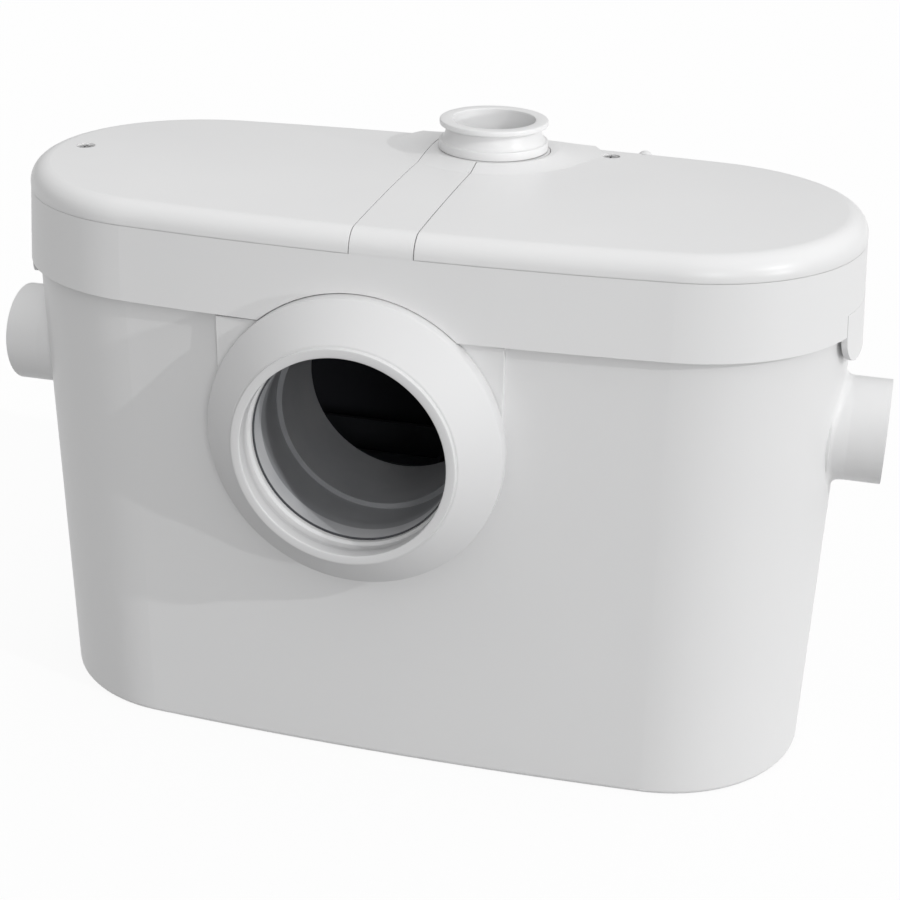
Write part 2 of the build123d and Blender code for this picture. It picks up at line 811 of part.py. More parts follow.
with BuildPart() as access_screws:
    with BuildSketch(Plane.XY.offset(deck_top)):
        with Locations((port_x, 0)):
            with GridLocations(port_length + port_margin, port_width + port_margin, 2, 2):
                Circle(screw_radius)
    extrude(amount=port_cover_wall)
    with BuildSketch(Plane.XY.offset(deck_top + port_cover_wall)):
        with Locations((port_x, 0)):
            with GridLocations(port_length + port_margin, port_width + port_margin, 2, 2):
                Circle(screw_head_radius)
    extrude(amount=screw_head_height)
access_screws.part.label = "access_screws"
export_step(access_screws.part, "parts/access_screws.step")

# Pan inlet: a soft collar over the duct, whose flange sits inside the tank
inlet_plane = Plane(origin=(inlet_x, 0, inlet_z), x_dir=(1, 0, 0), z_dir=(0, 0, 1))
inlet_axis = Axis((inlet_x, 0, inlet_z), (0, 1, 0))
collar_sleeve = duct_radius + snug_gap
collar_step = duct_front + body_gap
cone_front = collar_front - overrun
cone_back = collar_back + collar_rim_width
with BuildPart() as inlet_collar:
    with BuildSketch(inlet_plane):
        with BuildLine():
            Polyline(
                (collar_bore, -collar_front + overrun / 2),
                (collar_bore, -collar_front + collar_land),
                (collar_relief, -collar_front + collar_land + overrun),
                (collar_relief, -collar_step),
                (collar_sleeve, -collar_step),
                (collar_sleeve, -collar_back),
                (collar_sleeve + collar_skin, -collar_back),
                (collar_sleeve + collar_skin, -cone_front + 2 * collar_skin),
                (collar_rim_radius - collar_skin, -cone_back + overrun),
                (collar_rim_radius - collar_skin, -collar_back),
                (collar_rim_radius, -collar_back),
                (collar_rim_radius, -cone_back),
                (collar_ring_radius + overrun / 2, -cone_front),
                (collar_ring_radius, -cone_front),
                (collar_ring_radius, -collar_front),
                (collar_bore + overrun / 2, -collar_front),
                close=True,
            )
        make_face()
    revolve(axis=inlet_axis)
inlet_collar.part.label = "inlet_collar"
export_step(inlet_collar.part, "parts/inlet_collar.step")

flange_face = pad_face - tank_wall - gasket_wall
duct_shoulder = flange_face - duct_flange_wall
lip_back = duct_lip_place - duct_lip_width
with BuildPart() as inlet_duct:
    with BuildSketch(inlet_plane):
        with BuildLine():
            Polyline(
                (duct_bore, -duct_front),
                (duct_bore, -duct_shoulder),
                (duct_relief, -duct_shoulder + overrun),
                (duct_relief, -duct_lip_place),
                (duct_lip_bore, -duct_lip_place),
                (duct_lip_bore, -lip_back),
                (duct_bore, -lip_back),
                (duct_bore, -duct_end),
                (duct_radius, -duct_end),
                (duct_radius, -lip_back),
                (duct_body_radius, -duct_lip_place),
                (duct_body_radius, -duct_shoulder),
                (duct_flange_radius, -duct_shoulder),
                (duct_flange_radius, -flange_face),
                (duct_radius, -flange_face),
                (duct_radius, -duct_front),
                close=True,
            )
        make_face()
    revolve(axis=inlet_axis)
inlet_duct.part.label = "inlet_duct"
export_step(inlet_duct.part, "parts/inlet_duct.step")

with BuildPart() as inlet_gasket:
    with BuildSketch(Plane.XZ.offset(flange_face)):
        with Locations((inlet_x, inlet_z)):
            Circle(duct_flange_radius)
            Circle(duct_radius + body_gap, mode=Mode.SUBTRACT)
    extrude(amount=gasket_wall)
inlet_gasket.part.label = "inlet_gasket"
export_step(inlet_gasket.part, "parts/inlet_gasket.step")


# A disc or ring about a line along X, from one face towards another
def level_ring(x, y, z, length, outer, bore):
    with BuildPart() as ring:
        with BuildSketch(Plane.YZ.offset(x)):
            with Locations((y, z)):
                Circle(outer)
                if bore:
                    Circle(bore, mode=Mode.SUBTRACT)
        extrude(amount=length)
    return ring.part


# Side inlet valves: a seat ring on each inner stub, with lugs that carry a flap
side_pin_z = spigot_z + side_pin_rise
ring_face = spigot_inner - seat_ring_wall
pin_x = ring_face - knuckle_radius - body_gap
flap_face = ring_face - body_gap
lug_inner = knuckle_width / 2 + body_gap
with BuildPart() as inlet_seats:
    for side in side_names:
        with BuildSketch(Plane.YZ.offset(side * spigot_inner)):
            with Locations((0, spigot_z)):
                Circle(seat_ring_radius)
            with Locations((0, side_pin_z)):
                Rectangle(2 * (lug_inner + lug_width), header_height)
            with Locations((0, spigot_z)):
                Circle(seat_ring_bore, mode=Mode.SUBTRACT)
        extrude(amount=-side * seat_ring_wall)
        with BuildSketch(Plane.YZ.offset(side * (ring_face + weld))):
            for edge in (-1, 1):
                with Locations((edge * (lug_inner + lug_width / 2), side_pin_z)):
                    Rectangle(lug_width, header_height)
        extrude(amount=-side * (ring_face + weld - pin_x + knuckle_radius))
        with BuildSketch(Plane.XZ.offset(lug_inner + lug_width + overrun)):
            with Locations((side * pin_x, side_pin_z)):
                Circle(flap_pin_radius + running_gap / 2)
        extrude(amount=-2 * (lug_inner + lug_width + overrun), mode=Mode.SUBTRACT)
inlet_seats.part.label = "inlet_seats"
export_step(inlet_seats.part, "parts/inlet_seats.step")

for side, side_name in side_names.items():
    with BuildPart() as flap:
        with BuildSketch(Plane.YZ.offset(side * flap_face)):
            with Locations((0, spigot_z)):
                Circle(side_flap_radius)
            with Locations((0, (spigot_z + side_pin_z) / 2)):
                Rectangle(knuckle_width, side_pin_rise)
        extrude(amount=-side * side_flap_wall)
        with BuildSketch(Plane.XZ.offset(knuckle_width / 2)):
            with Locations((side * pin_x, side_pin_z)):
                Circle(knuckle_radius)
        extrude(amount=-knuckle_width)
        with BuildSketch(Plane.XZ.offset(knuckle_width)):
            with Locations((side * pin_x, side_pin_z)):
                Circle(flap_pin_radius + running_gap)
        extrude(amount=-2 * knuckle_width, mode=Mode.SUBTRACT)
    flap.part.label = f"{side_name}_inlet_flap"
    export_step(flap.part, f"parts/{side_name}_inlet_flap.step")

# Volute with its suction eye and its upward outlet
pocket_front = volute_front + volute_wall
pocket_back = volute_back - volute_wall
with BuildPart() as volute_casing:
    with BuildSketch(Plane.YZ.offset(volute_front)):
        with Locations((0, axis_z)):
            Circle(volute_radius)
        with Locations((outlet_y, axis_z + volute_radius / 2)):
            Rectangle(2 * outlet_radius, volute_radius)
    extrude(amount=pocket_back - volute_front)
    with BuildSketch(Plane.XY.offset(axis_z + volute_radius)):
        with Locations((volute_middle, outlet_y)):
            Circle(outlet_radius)
    extrude(amount=outlet_top - axis_z - volute_radius)
    with BuildSketch(Plane.YZ.offset(pocket_front)):
        with Locations((0, axis_z)):
            Circle(volute_pocket)
    extrude(amount=volute_pocket_width + overrun, mode=Mode.SUBTRACT)
    with BuildSketch(Plane.XY.offset(axis_z)):
        with Locations((volute_middle, outlet_y)):
            Circle(outlet_throat)
    extrude(amount=outlet_top - axis_z + overrun, mode=Mode.SUBTRACT)
    with BuildSketch(Plane.XY.offset(axis_z + volute_radius + volute_wall)):
        with Locations((volute_middle, outlet_y)):
            Circle(outlet_bore)
    extrude(amount=outlet_top - axis_z, mode=Mode.SUBTRACT)
    with BuildSketch(Plane.YZ.offset(volute_front - overrun)):
        with Locations((0, axis_z)):
            Circle(suction_radius)
            with PolarLocations(
                screw_circle, volute_screws_count, volute_screws_start, volute_screws_sweep,
                endpoint=True,
            ):
                Circle(screw_radius + snug_gap)
    extrude(amount=pocket_back, mode=Mode.SUBTRACT)
volute_casing.part.label = "volute_casing"
export_step(volute_casing.part, "parts/volute_casing.step")

with BuildPart() as volute_cover:
    with BuildSketch(Plane.YZ.offset(pocket_back)):
        with Locations((0, axis_z)):
            Circle(volute_radius)
        with Locations((outlet_y, axis_z + volute_radius / 2)):
            Rectangle(2 * outlet_radius, volute_radius)
        with Locations((0, axis_z)):
            Circle(seal_radius, mode=Mode.SUBTRACT)
            with PolarLocations(
                screw_circle, volute_screws_count, volute_screws_start, volute_screws_sweep,
                endpoint=True,
            ):
                Circle(screw_radius + snug_gap, mode=Mode.SUBTRACT)
    extrude(amount=volute_wall)
volute_cover.part.label = "volute_cover"
export_step(volute_cover.part, "parts/volute_cover.step")

with BuildPart() as volute_screws:
    with BuildSketch(Plane.YZ.offset(volute_front)):
        with Locations((0, axis_z)):
            with PolarLocations(
                screw_circle, volute_screws_count, volute_screws_start, volute_screws_sweep,
                endpoint=True,
            ):
                Circle(screw_radius)
    extrude(amount=volute_back - volute_front + motor_front_wall / 2)
    with BuildSketch(Plane.YZ.offset(volute_front)):
        with Locations((0, axis_z)):
            with PolarLocations(
                screw_circle, volute_screws_count, volute_screws_start, volute_screws_sweep,
                endpoint=True,
            ):
                Circle(screw_head_radius)
    extrude(amount=-screw_head_height)
volute_screws.part.label = "volute_screws"
export_step(volute_screws.part, "parts/volute_screws.step")

shaft_seal = level_ring(
    pocket_back, 0, axis_z, volute_wall, seal_radius - snug_gap, shaft_radius + running_gap
)
shaft_seal.label = "shaft_seal"
export_step(shaft_seal, "parts/shaft_seal.step")

# Impeller with radial vanes on a disc
hub_bore = shaft_radius + running_gap / 2
impeller_back = pocket_back - impeller_clearance
impeller_front = pocket_front + impeller_clearance
vane_length = impeller_radius - impeller_hub_radius + weld
with BuildPart() as impeller:
    with BuildSketch(Plane.YZ.offset(impeller_back)):
        with Locations((0, axis_z)):
            Circle(impeller_radius)
    extrude(amount=-impeller_disc_wall)
    with BuildSketch(Plane.YZ.offset(impeller_back)):
        with Locations((0, axis_z)):
            Circle(impeller_hub_radius)
            with PolarLocations(impeller_hub_radius - weld, impeller_vanes):
                with Locations((vane_length / 2, 0)):
                    Rectangle(vane_length, impeller_vane_wall)
    extrude(amount=impeller_front - impeller_back)
    with BuildSketch(Plane.YZ.offset(impeller_front - overrun)):
        with Locations((0, axis_z)):
            Circle(impeller_radius + overrun)
            Circle(impeller_radius, mode=Mode.SUBTRACT)
            Circle(hub_bore)
    extrude(amount=2 * volute_pocket_width, mode=Mode.SUBTRACT)
impeller.part.label = "impeller"
export_step(impeller.part, "parts/impeller.step")

# Cutter stack in front of the impeller: two spacers, two crossed blades, a nut
blade_stack = impeller_front - blade_lead
near_blade = blade_stack - blade_wall
far_blade = near_blade - blade_spacing - blade_wall
with BuildPart() as cutter_spacers:
    for place, length in ((blade_stack, blade_lead), (near_blade - blade_spacing, blade_spacing)):
        with BuildSketch(Plane.YZ.offset(place)):
            with Locations((0, axis_z)):
                Circle(sleeve_radius)
                Circle(hub_bore, mode=Mode.SUBTRACT)
        extrude(amount=length)
cutter_spacers.part.label = "cutter_spacers"
export_step(cutter_spacers.part, "parts/cutter_spacers.step")

with BuildPart() as cutter_blades:
    for place, turn in ((near_blade, 0), (far_blade, 90)):
        with BuildSketch(Plane.YZ.offset(place)):
            with Locations(Location((0, axis_z, 0), (0, 0, turn))):
                SlotOverall(2 * blade_radius, blade_width)
            with Locations((0, axis_z)):
                Circle(hub_bore, mode=Mode.SUBTRACT)
        extrude(amount=blade_wall)
cutter_blades.part.label = "cutter_blades"
export_step(cutter_blades.part, "parts/cutter_blades.step")

with BuildPart() as cutter_nut:
    with BuildSketch(Plane.YZ.offset(far_blade)):
        with Locations((0, axis_z)):
            RegularPolygon(nut_radius, 6)
            Circle(hub_bore, mode=Mode.SUBTRACT)
    extrude(amount=-nut_height)
cutter_nut.part.label = "cutter_nut"
export_step(cutter_nut.part, "parts/cutter_nut.step")

# Basket: a trough with a round floor, open on top, its floor full of holes
basket_left = volute_front - basket_length
basket_top = inlet_z - duct_body_radius - body_gap
with BuildPart() as basket:
    with BuildSketch(Plane.YZ.offset(basket_left)):
        with Locations((0, axis_z)):
            Circle(basket_radius)
        with Locations((0, (axis_z + basket_top) / 2)):
            Rectangle(2 * basket_radius, basket_top - axis_z)
    extrude(amount=basket_length)
    inner_radius = basket_radius - basket_wall
    with BuildSketch(Plane.YZ.offset(basket_left + basket_wall)):
        with Locations((0, axis_z)):
            Circle(inner_radius)
        with Locations((0, (axis_z + basket_top + overrun) / 2)):
            Rectangle(2 * inner_radius, basket_top + overrun - axis_z)
    extrude(amount=basket_length - 2 * basket_wall, mode=Mode.SUBTRACT)
    with BuildSketch(Plane.YZ.offset(volute_front - basket_wall - overrun)):
        with Locations((0, axis_z)):
            Circle(basket_eye)
            with PolarLocations(
                screw_circle, volute_screws_count, volute_screws_start, volute_screws_sweep,
                endpoint=True,
            ):
                Circle(screw_head_radius + snug_gap)
    extrude(amount=basket_wall + 2 * overrun, mode=Mode.SUBTRACT)
    foot_top = axis_z - basket_radius * cos(basket_foot_width / basket_radius / 2)
    foot_middle = basket_left + basket_length / 2
    for foot_place in (-1, 1):
        with BuildSketch(Plane.YZ.offset(foot_middle + foot_place * basket_foot_pitch / 2)):
            with Locations((0, (foot_top + tank_floor) / 2)):
                Rectangle(basket_foot_width, foot_top - tank_floor)
            with Locations((0, axis_z)):
                Circle(inner_radius, mode=Mode.SUBTRACT)
        extrude(amount=basket_foot_wall, both=True)
    hole_pitch = (basket_foot_pitch - 4 * basket_foot_wall) / (basket_hole_columns / 2)
    for row in range(basket_hole_rows):
        angle = -basket_hole_sweep / 2 + row * basket_hole_sweep / (basket_hole_rows - 1)
        row_plane = Plane(origin=(foot_middle, 0, axis_z), x_dir=(1, 0, 0), z_dir=(0, 0, -1))
        row_plane = row_plane.rotated((angle, 0, 0))
        with BuildSketch(row_plane.offset(inner_radius - overrun)):
            with GridLocations(hole_pitch, basket_wall, basket_hole_columns // 2, 1):
                Circle(basket_hole_radius)
        extrude(amount=basket_wall + 2 * overrun, mode=Mode.SUBTRACT)
basket.part.label = "macerator_basket"
export_step(basket.part, "parts/macerator_basket.step")

# Shaft through pump and motor, with everything that turns on it
motor_front = volute_back
motor_back = motor_front + motor_length
shaft_left = far_blade - nut_height - overrun
boss_face = motor_front + motor_front_wall
front_bearing_x = boss_face + bearing_inset
rear_bearing_x = motor_back - bearing_boss_length + bearing_inset
shaft_right = rear_bearing_x + bearing_width - bearing_inset / 2
motor_shaft = level_ring(shaft_left, 0, axis_z, shaft_right - shaft_left, shaft_radius, 0)
motor_shaft.label = "motor_shaft"
export_step(motor_shaft, "parts/motor_shaft.step")

stator_x = motor_front + stator_place
rotor_core = level_ring(stator_x, 0, axis_z, stator_length, rotor_radius, hub_bore)
rotor_core.label = "rotor_core"
export_step(rotor_core, "parts/rotor_core.step")

stator_core = level_ring(stator_x, 0, axis_z, stator_length, stator_radius, stator_bore)
stator_core.label = "stator_core"
export_step(stator_core, "parts/stator_core.step")

with BuildPart() as stator_windings:
    for place in (stator_x - winding_length, stator_x + stator_length):
        with BuildSketch(Plane.YZ.offset(place)):
            with Locations((0, axis_z)):
                Circle(winding_outer)
                Circle(winding_inner, mode=Mode.SUBTRACT)
        extrude(amount=winding_length)
stator_windings.part.label = "stator_windings"
export_step(stator_windings.part, "parts/stator_windings.step")

with BuildPart() as motor_bearings:
    for place in (front_bearing_x, rear_bearing_x):
        with BuildSketch(Plane.YZ.offset(place)):
            with Locations((0, axis_z)):
                Circle(bearing_radius)
                Circle(shaft_radius + running_gap, mode=Mode.SUBTRACT)
        extrude(amount=bearing_width)
motor_bearings.part.label = "motor_bearings"
export_step(motor_bearings.part, "parts/motor_bearings.step")

# Motor housing: a can with a bearing boss in front and a flange at the back
with BuildPart() as motor_housing:
    with BuildSketch(Plane.YZ.offset(motor_front)):
        with Locations((0, axis_z)):
            Circle(motor_radius)
    extrude(amount=motor_length)
    with BuildSketch(Plane.YZ.offset(motor_back)):
        with Locations((0, axis_z)):
            Circle(motor_flange_radius)
    extrude(amount=-motor_flange_wall)
    with BuildSketch(Plane.YZ.offset(boss_face)):
        with Locations((0, axis_z)):
            Circle(motor_radius - motor_wall)
    extrude(amount=motor_length, mode=Mode.SUBTRACT)
    with BuildSketch(Plane.YZ.offset(boss_face - weld)):
        with Locations((0, axis_z)):
            Circle(bearing_boss_radius)
    extrude(amount=bearing_boss_length + weld)
    with BuildSketch(Plane.YZ.offset(front_bearing_x)):
        with Locations((0, axis_z)):
            Circle(bearing_radius + running_gap)
    extrude(amount=bearing_boss_length, mode=Mode.SUBTRACT)
    with BuildSketch(Plane.YZ.offset(motor_front - overrun)):
        with Locations((0, axis_z)):
            Circle(shaft_radius + weld)
    extrude(amount=motor_length, mode=Mode.SUBTRACT)
    with BuildSketch(Plane.YZ.offset(motor_front - overrun)):
        with Locations((0, axis_z)):
            with PolarLocations(
                screw_circle, volute_screws_count, volute_screws_start, volute_screws_sweep,
                endpoint=True,
            ):
                Circle(screw_radius + snug_gap)
    extrude(amount=overrun + motor_front_wall / 2 + snug_gap, mode=Mode.SUBTRACT)
    with BuildSketch(Plane.YZ.offset(motor_back - motor_flange_wall - overrun)):
        with Locations((0, axis_z)):
            with PolarLocations(cap_screw_circle, cap_screws_count):
                Circle(screw_radius + snug_gap)
    extrude(amount=motor_flange_wall + 2 * overrun, mode=Mode.SUBTRACT)
    with BuildSketch(Plane.XY.offset(axis_z + motor_radius - 2 * motor_wall)):
        with Locations((lead_x, 0)):
            Circle(grommet_radius + snug_gap)
    extrude(amount=3 * motor_wall, mode=Mode.SUBTRACT)
motor_housing.part.label = "motor_housing"
export_step(motor_housing.part, "parts/motor_housing.step")

with BuildPart() as motor_end_cap:
    with BuildSketch(Plane.YZ.offset(motor_back)):
        with Locations((0, axis_z)):
            Circle(motor_flange_radius)
    extrude(amount=motor_cap_wall)
    fillet(motor_end_cap.faces().sort_by(Axis.X)[-1].edges(), overrun)
    with BuildSketch(Plane.YZ.offset(motor_back + weld)):
        with Locations((0, axis_z)):
            Circle(bearing_boss_radius)
    extrude(amount=-bearing_boss_length - weld)
    with BuildSketch(Plane.YZ.offset(motor_back - bearing_boss_length - overrun)):
        with Locations((0, axis_z)):
            Circle(bearing_radius + running_gap)
    extrude(amount=rear_bearing_x + bearing_width - motor_back + bearing_boss_length + overrun,
            mode=Mode.SUBTRACT)
    with BuildSketch(Plane.YZ.offset(motor_back - overrun)):
        with Locations((0, axis_z)):
            with PolarLocations(cap_screw_circle, cap_screws_count):
                Circle(screw_radius + snug_gap)
    extrude(amount=motor_cap_wall + 2 * overrun, mode=Mode.SUBTRACT)
motor_end_cap.part.label = "motor_end_cap"
export_step(motor_end_cap.part, "parts/motor_end_cap.step")

with BuildPart() as motor_cap_screws:
    with BuildSketch(Plane.YZ.offset(motor_back - motor_flange_wall)):
        with Locations((0, axis_z)):
            with PolarLocations(cap_screw_circle, cap_screws_count):
                Circle(screw_radius)
    extrude(amount=motor_flange_wall + motor_cap_wall)
    with BuildSketch(Plane.YZ.offset(motor_back + motor_cap_wall)):
        with Locations((0, axis_z)):
            with PolarLocations(cap_screw_circle, cap_screws_count):
                Circle(screw_head_radius - overrun / 2)
    extrude(amount=screw_head_height)
motor_cap_screws.part.label = "motor_cap_screws"
export_step(motor_cap_screws.part, "parts/motor_cap_screws.step")

# Cradle with two saddle ribs, on four rubber pads
cradle_x = stator_x + stator_length / 2
cradle_z = tank_floor + motor_pad_height
cradle_top = axis_z - cradle_drop
with BuildPart() as motor_cradle:
    with BuildSketch(Plane.XY.offset(cradle_z)):
        with Locations((cradle_x, 0)):
            Rectangle(cradle_length, cradle_width)
    extrude(amount=cradle_base)
    with BuildSketch(Plane.XY.offset(cradle_z)):
        with Locations((cradle_x, 0)):
            with GridLocations(cradle_length - cradle_rib, 0, 2, 1):
                Rectangle(cradle_rib, cradle_width)
    extrude(amount=cradle_top - cradle_z)
    with BuildSketch(Plane.YZ.offset(cradle_x - cradle_length)):
        with Locations((0, axis_z)):
            Circle(motor_radius + snug_gap)
    extrude(amount=2 * cradle_length, mode=Mode.SUBTRACT)
motor_cradle.part.label = "motor_cradle"
export_step(motor_cradle.part, "parts/motor_cradle.step")

with BuildPart() as motor_pads:
    with BuildSketch(Plane.XY.offset(tank_floor)):
        with Locations((cradle_x, 0)):
            with GridLocations(
                cradle_length - motor_pad_length, cradle_width - motor_pad_width, 2, 2
            ):
                Rectangle(motor_pad_length, motor_pad_width)
    extrude(amount=motor_pad_height)
motor_pads.part.label = "motor_pads"
export_step(motor_pads.part, "parts/motor_pads.step")


# Rubber grommets that the motor's lead passes through, one in the motor's
# housing and one in the deck, each with its flange on top
motor_top = axis_z + motor_radius
grommet_seats = (
    (lead_x, 0, motor_top + snug_gap, motor_wall),
    (lead_x, lead_y, deck_top, deck_wall),
)
with BuildPart() as lead_grommets:
    for x, y, surface, below in grommet_seats:
        with BuildSketch(Plane.XY.offset(surface - below)):
            with Locations((x, y)):
                Circle(grommet_radius)
        extrude(amount=below)
        with BuildSketch(Plane.XY.offset(surface)):
            with Locations((x, y)):
                Circle(grommet_flange_radius)
        extrude(amount=grommet_flange)
        with BuildSketch(Plane.XY.offset(surface - below - overrun)):
            with Locations((x, y)):
                Circle(lead_bore)
        extrude(amount=below + grommet_flange + 2 * overrun, mode=Mode.SUBTRACT)
lead_grommets.part.label = "lead_grommets"
export_step(lead_grommets.part, "parts/lead_grommets.step")

# Inner leads: one climbs from the motor through the deck and runs along it to
# the terminals, and a thin one drops from the micro switch into the box
lead_z = deck_top + lead_rise
box_back = box_y + box_width / 2
micro_front = bell_y - micro_width / 2
cap_top = deck_top + bell_flange_wall + switch_base_wall + diaphragm_wall + switch_cap_height
micro_lead_z = cap_top + micro_lead_rise
micro_lead_y = (box_back + bell_y - switch_radius) / 2
micro_lead_low = micro_lead_z - micro_lead_drop
with BuildPart() as inner_leads:
    with BuildLine() as lead_path:
        FilletPolyline(
            (lead_x, 0, motor_top - motor_wall / 2),
            (lead_x, 0, lead_first_bend),
            (lead_x, lead_y, lead_second_bend),
            (lead_x, lead_y, lead_z),
            (block_x + block_length / 2, lead_y, lead_z),
            radius=[lead_bend_radius, lead_bend_radius, lead_turn_radius],
        )
    with BuildSketch(Plane(lead_path.line @ 0, z_dir=lead_path.line % 0)):
        Circle(lead_radius)
    sweep()
    with BuildLine() as micro_path:
        FilletPolyline(
            (bell_x, micro_front, micro_lead_z),
            (bell_x, micro_lead_y, micro_lead_z),
            (bell_x, micro_lead_y, micro_lead_low),
            (bell_x, box_back - box_wall - micro_lead_radius, micro_lead_low),
            radius=micro_lead_bend,
        )
    with BuildSketch(Plane(micro_path.line @ 0, z_dir=micro_path.line % 0)):
        Circle(micro_lead_radius)
    sweep()
inner_leads.part.label = "inner_leads"
export_step(inner_leads.part, "parts/inner_leads.step")

with BuildPart() as lead_clips:
    with BuildSketch(Plane.XY.offset(deck_top)):
        with Locations((0, lead_y)):
            with GridLocations(clip_pitch, 0, 2, 1):
                Rectangle(clip_width, clip_depth)
    extrude(amount=lead_rise + lead_radius + clip_cover)
    with BuildSketch(Plane.YZ.offset(-clip_pitch)):
        with Locations((lead_y, lead_z)):
            Circle(lead_radius + snug_gap)
    extrude(amount=2 * clip_pitch, mode=Mode.SUBTRACT)
lead_clips.part.label = "lead_clips"
export_step(lead_clips.part, "parts/lead_clips.step")

# Discharge pipe from the volute to the valve, with its joint sleeve
with BuildPart() as discharge_pipe:
    with BuildLine() as pipe_path:
        FilletPolyline(
            (neck_x, outlet_y, outlet_top),
            (neck_x, outlet_y, pipe_bend_low),
            (neck_x, neck_y, pipe_bend_high),
            (neck_x, neck_y, pipe_top),
            radius=pipe_bend_radius,
        )
    with BuildSketch(Plane(pipe_path.line @ 0, z_dir=pipe_path.line % 0)):
        Circle(outlet_radius)
        Circle(outlet_bore, mode=Mode.SUBTRACT)
    sweep()
discharge_pipe.part.label = "discharge_pipe"
export_step(discharge_pipe.part, "parts/discharge_pipe.step")

pipe_sleeve = upright_ring(
    neck_x, outlet_y, outlet_top - sleeve_below, sleeve_below + sleeve_above,
    outlet_radius + snug_gap + sleeve_wall, outlet_radius + snug_gap,
)
pipe_sleeve.label = "pipe_sleeve"
export_step(pipe_sleeve, "parts/pipe_sleeve.step")

# Non-return valve: body hung from the deck, with two lugs for the flap's pin
valve_seat_z = pipe_top + valve_seat_wall
valve_pin_y = neck_y + valve_pin_offset
valve_pin_z = valve_seat_z + valve_pin_rise
valve_outer = valve_bore + valve_wall
with BuildPart() as valve_body:
    with BuildSketch(neck_plane):
        with BuildLine():
            Polyline(
                (outlet_radius + snug_gap, valve_bottom),
                (outlet_radius + snug_gap, pipe_top),
                (valve_seat_bore, pipe_top),
                (valve_seat_bore, valve_seat_z),
                (valve_bore, valve_seat_z),
                (valve_bore, valve_top),
                (valve_outer, valve_top),
                (valve_outer, deck_top + valve_flange_wall),
                (valve_flange_radius, deck_top + valve_flange_wall),
                (valve_flange_radius, deck_top),
                (valve_outer, deck_top),
                (valve_outer, pipe_top),
                (outlet_radius + sleeve_wall, pipe_top),
                (outlet_radius + sleeve_wall, valve_bottom),
                close=True,
            )
        make_face()
    revolve(axis=neck_axis)
    with BuildSketch(Plane.XY.offset(valve_seat_z - weld)):
        for edge in (-1, 1):
            with Locations((neck_x + edge * (lug_inner + lug_width / 2), valve_pin_y)):
                Rectangle(lug_width, 2 * knuckle_radius)
        with Locations((neck_x, neck_y)):
            Circle(valve_bore + weld, mode=Mode.INTERSECT)
    extrude(amount=valve_lug_rise + weld)
    with BuildSketch(Plane.YZ.offset(neck_x - lug_inner - lug_width - weld)):
        with Locations((valve_pin_y, valve_pin_z)):
            Circle(flap_pin_radius + running_gap / 2)
    extrude(amount=2 * (lug_inner + lug_width + weld), mode=Mode.SUBTRACT)
valve_body.part.label = "discharge_valve_body"
export_step(valve_body.part, "parts/discharge_valve_body.step")

flap_low = valve_seat_z + body_gap
with BuildPart() as discharge_flap:
    with BuildSketch(Plane.XY.offset(flap_low)):
        with Locations((neck_x, neck_y)):
            Circle(valve_flap_radius)
        with Locations((neck_x, (neck_y + valve_pin_y) / 2)):
            Rectangle(knuckle_width, valve_pin_offset)
    extrude(amount=valve_flap_wall)
    with BuildSketch(Plane.YZ.offset(neck_x - knuckle_width / 2)):
        with Locations((valve_pin_y, valve_pin_z)):
            Circle(knuckle_radius)
    extrude(amount=knuckle_width)
    with BuildSketch(Plane.YZ.offset(neck_x - knuckle_width)):
        with Locations((valve_pin_y, valve_pin_z)):
            Circle(flap_pin_radius + running_gap)
    extrude(amount=2 * knuckle_width, mode=Mode.SUBTRACT)
discharge_flap.part.label = "discharge_flap"
export_step(discharge_flap.part, "parts/discharge_flap.step")

# Hinge pins of the two inlet flaps and of the discharge flap
with BuildPart() as flap_pins:
    for side in side_names:
        with BuildSketch(Plane.XZ.offset(flap_pin_length / 2)):
            with Locations((side * pin_x, side_pin_z)):
                Circle(flap_pin_radius)
        extrude(amount=-flap_pin_length)
    with BuildSketch(Plane.YZ.offset(neck_x - flap_pin_length / 2)):
        with Locations((valve_pin_y, valve_pin_z)):
            Circle(flap_pin_radius)
    extrude(amount=flap_pin_length)
flap_pins.part.label = "flap_pins"
export_step(flap_pins.part, "parts/flap_pins.step")

neck_o_ring = upright_ring(
    neck_x, neck_y, o_ring_z, o_ring_height, valve_bore - snug_gap, neck_bore + neck_wall + snug_gap
)
neck_o_ring.label = "neck_o_ring"
export_step(neck_o_ring, "parts/neck_o_ring.step")

# Level bell: a tube with an open mouth near the floor, hung from the deck
bell_plane = Plane(origin=(bell_x, bell_y, 0), x_dir=(1, 0, 0), z_dir=(0, -1, 0))
bell_top = deck_top + bell_flange_wall
with BuildPart() as pressure_bell:
    with BuildSketch(bell_plane):
        with BuildLine():
            Polyline(
                (bell_radius - bell_wall, bell_top),
                (switch_radius, bell_top),
                (switch_radius, deck_top),
                (bell_radius, deck_top),
                (bell_radius, bell_bottom + bell_mouth_height),
                (bell_mouth_radius, bell_bottom),
                (bell_mouth_radius - bell_wall, bell_bottom),
                (bell_radius - bell_wall, bell_bottom + bell_mouth_height),
                close=True,
            )
        make_face()
    revolve(axis=Axis((bell_x, bell_y, 0), (0, 0, 1)))
pressure_bell.part.label = "pressure_bell"
export_step(pressure_bell.part, "parts/pressure_bell.step")

# Pressure switch: base, diaphragm, cap, plunger and micro switch
diaphragm_z = bell_top + switch_base_wall
cap_z = diaphragm_z + diaphragm_wall
switch_base = upright_ring(bell_x, bell_y, bell_top, switch_base_wall, switch_radius, switch_base_bore)
switch_base.label = "switch_base"
export_step(switch_base, "parts/switch_base.step")

with BuildPart() as switch_diaphragm:
    with BuildSketch(Plane.XY.offset(diaphragm_z)):
        with Locations((bell_x, bell_y)):
            Circle(switch_radius)
    extrude(amount=diaphragm_wall)
switch_diaphragm.part.label = "switch_diaphragm"
export_step(switch_diaphragm.part, "parts/switch_diaphragm.step")

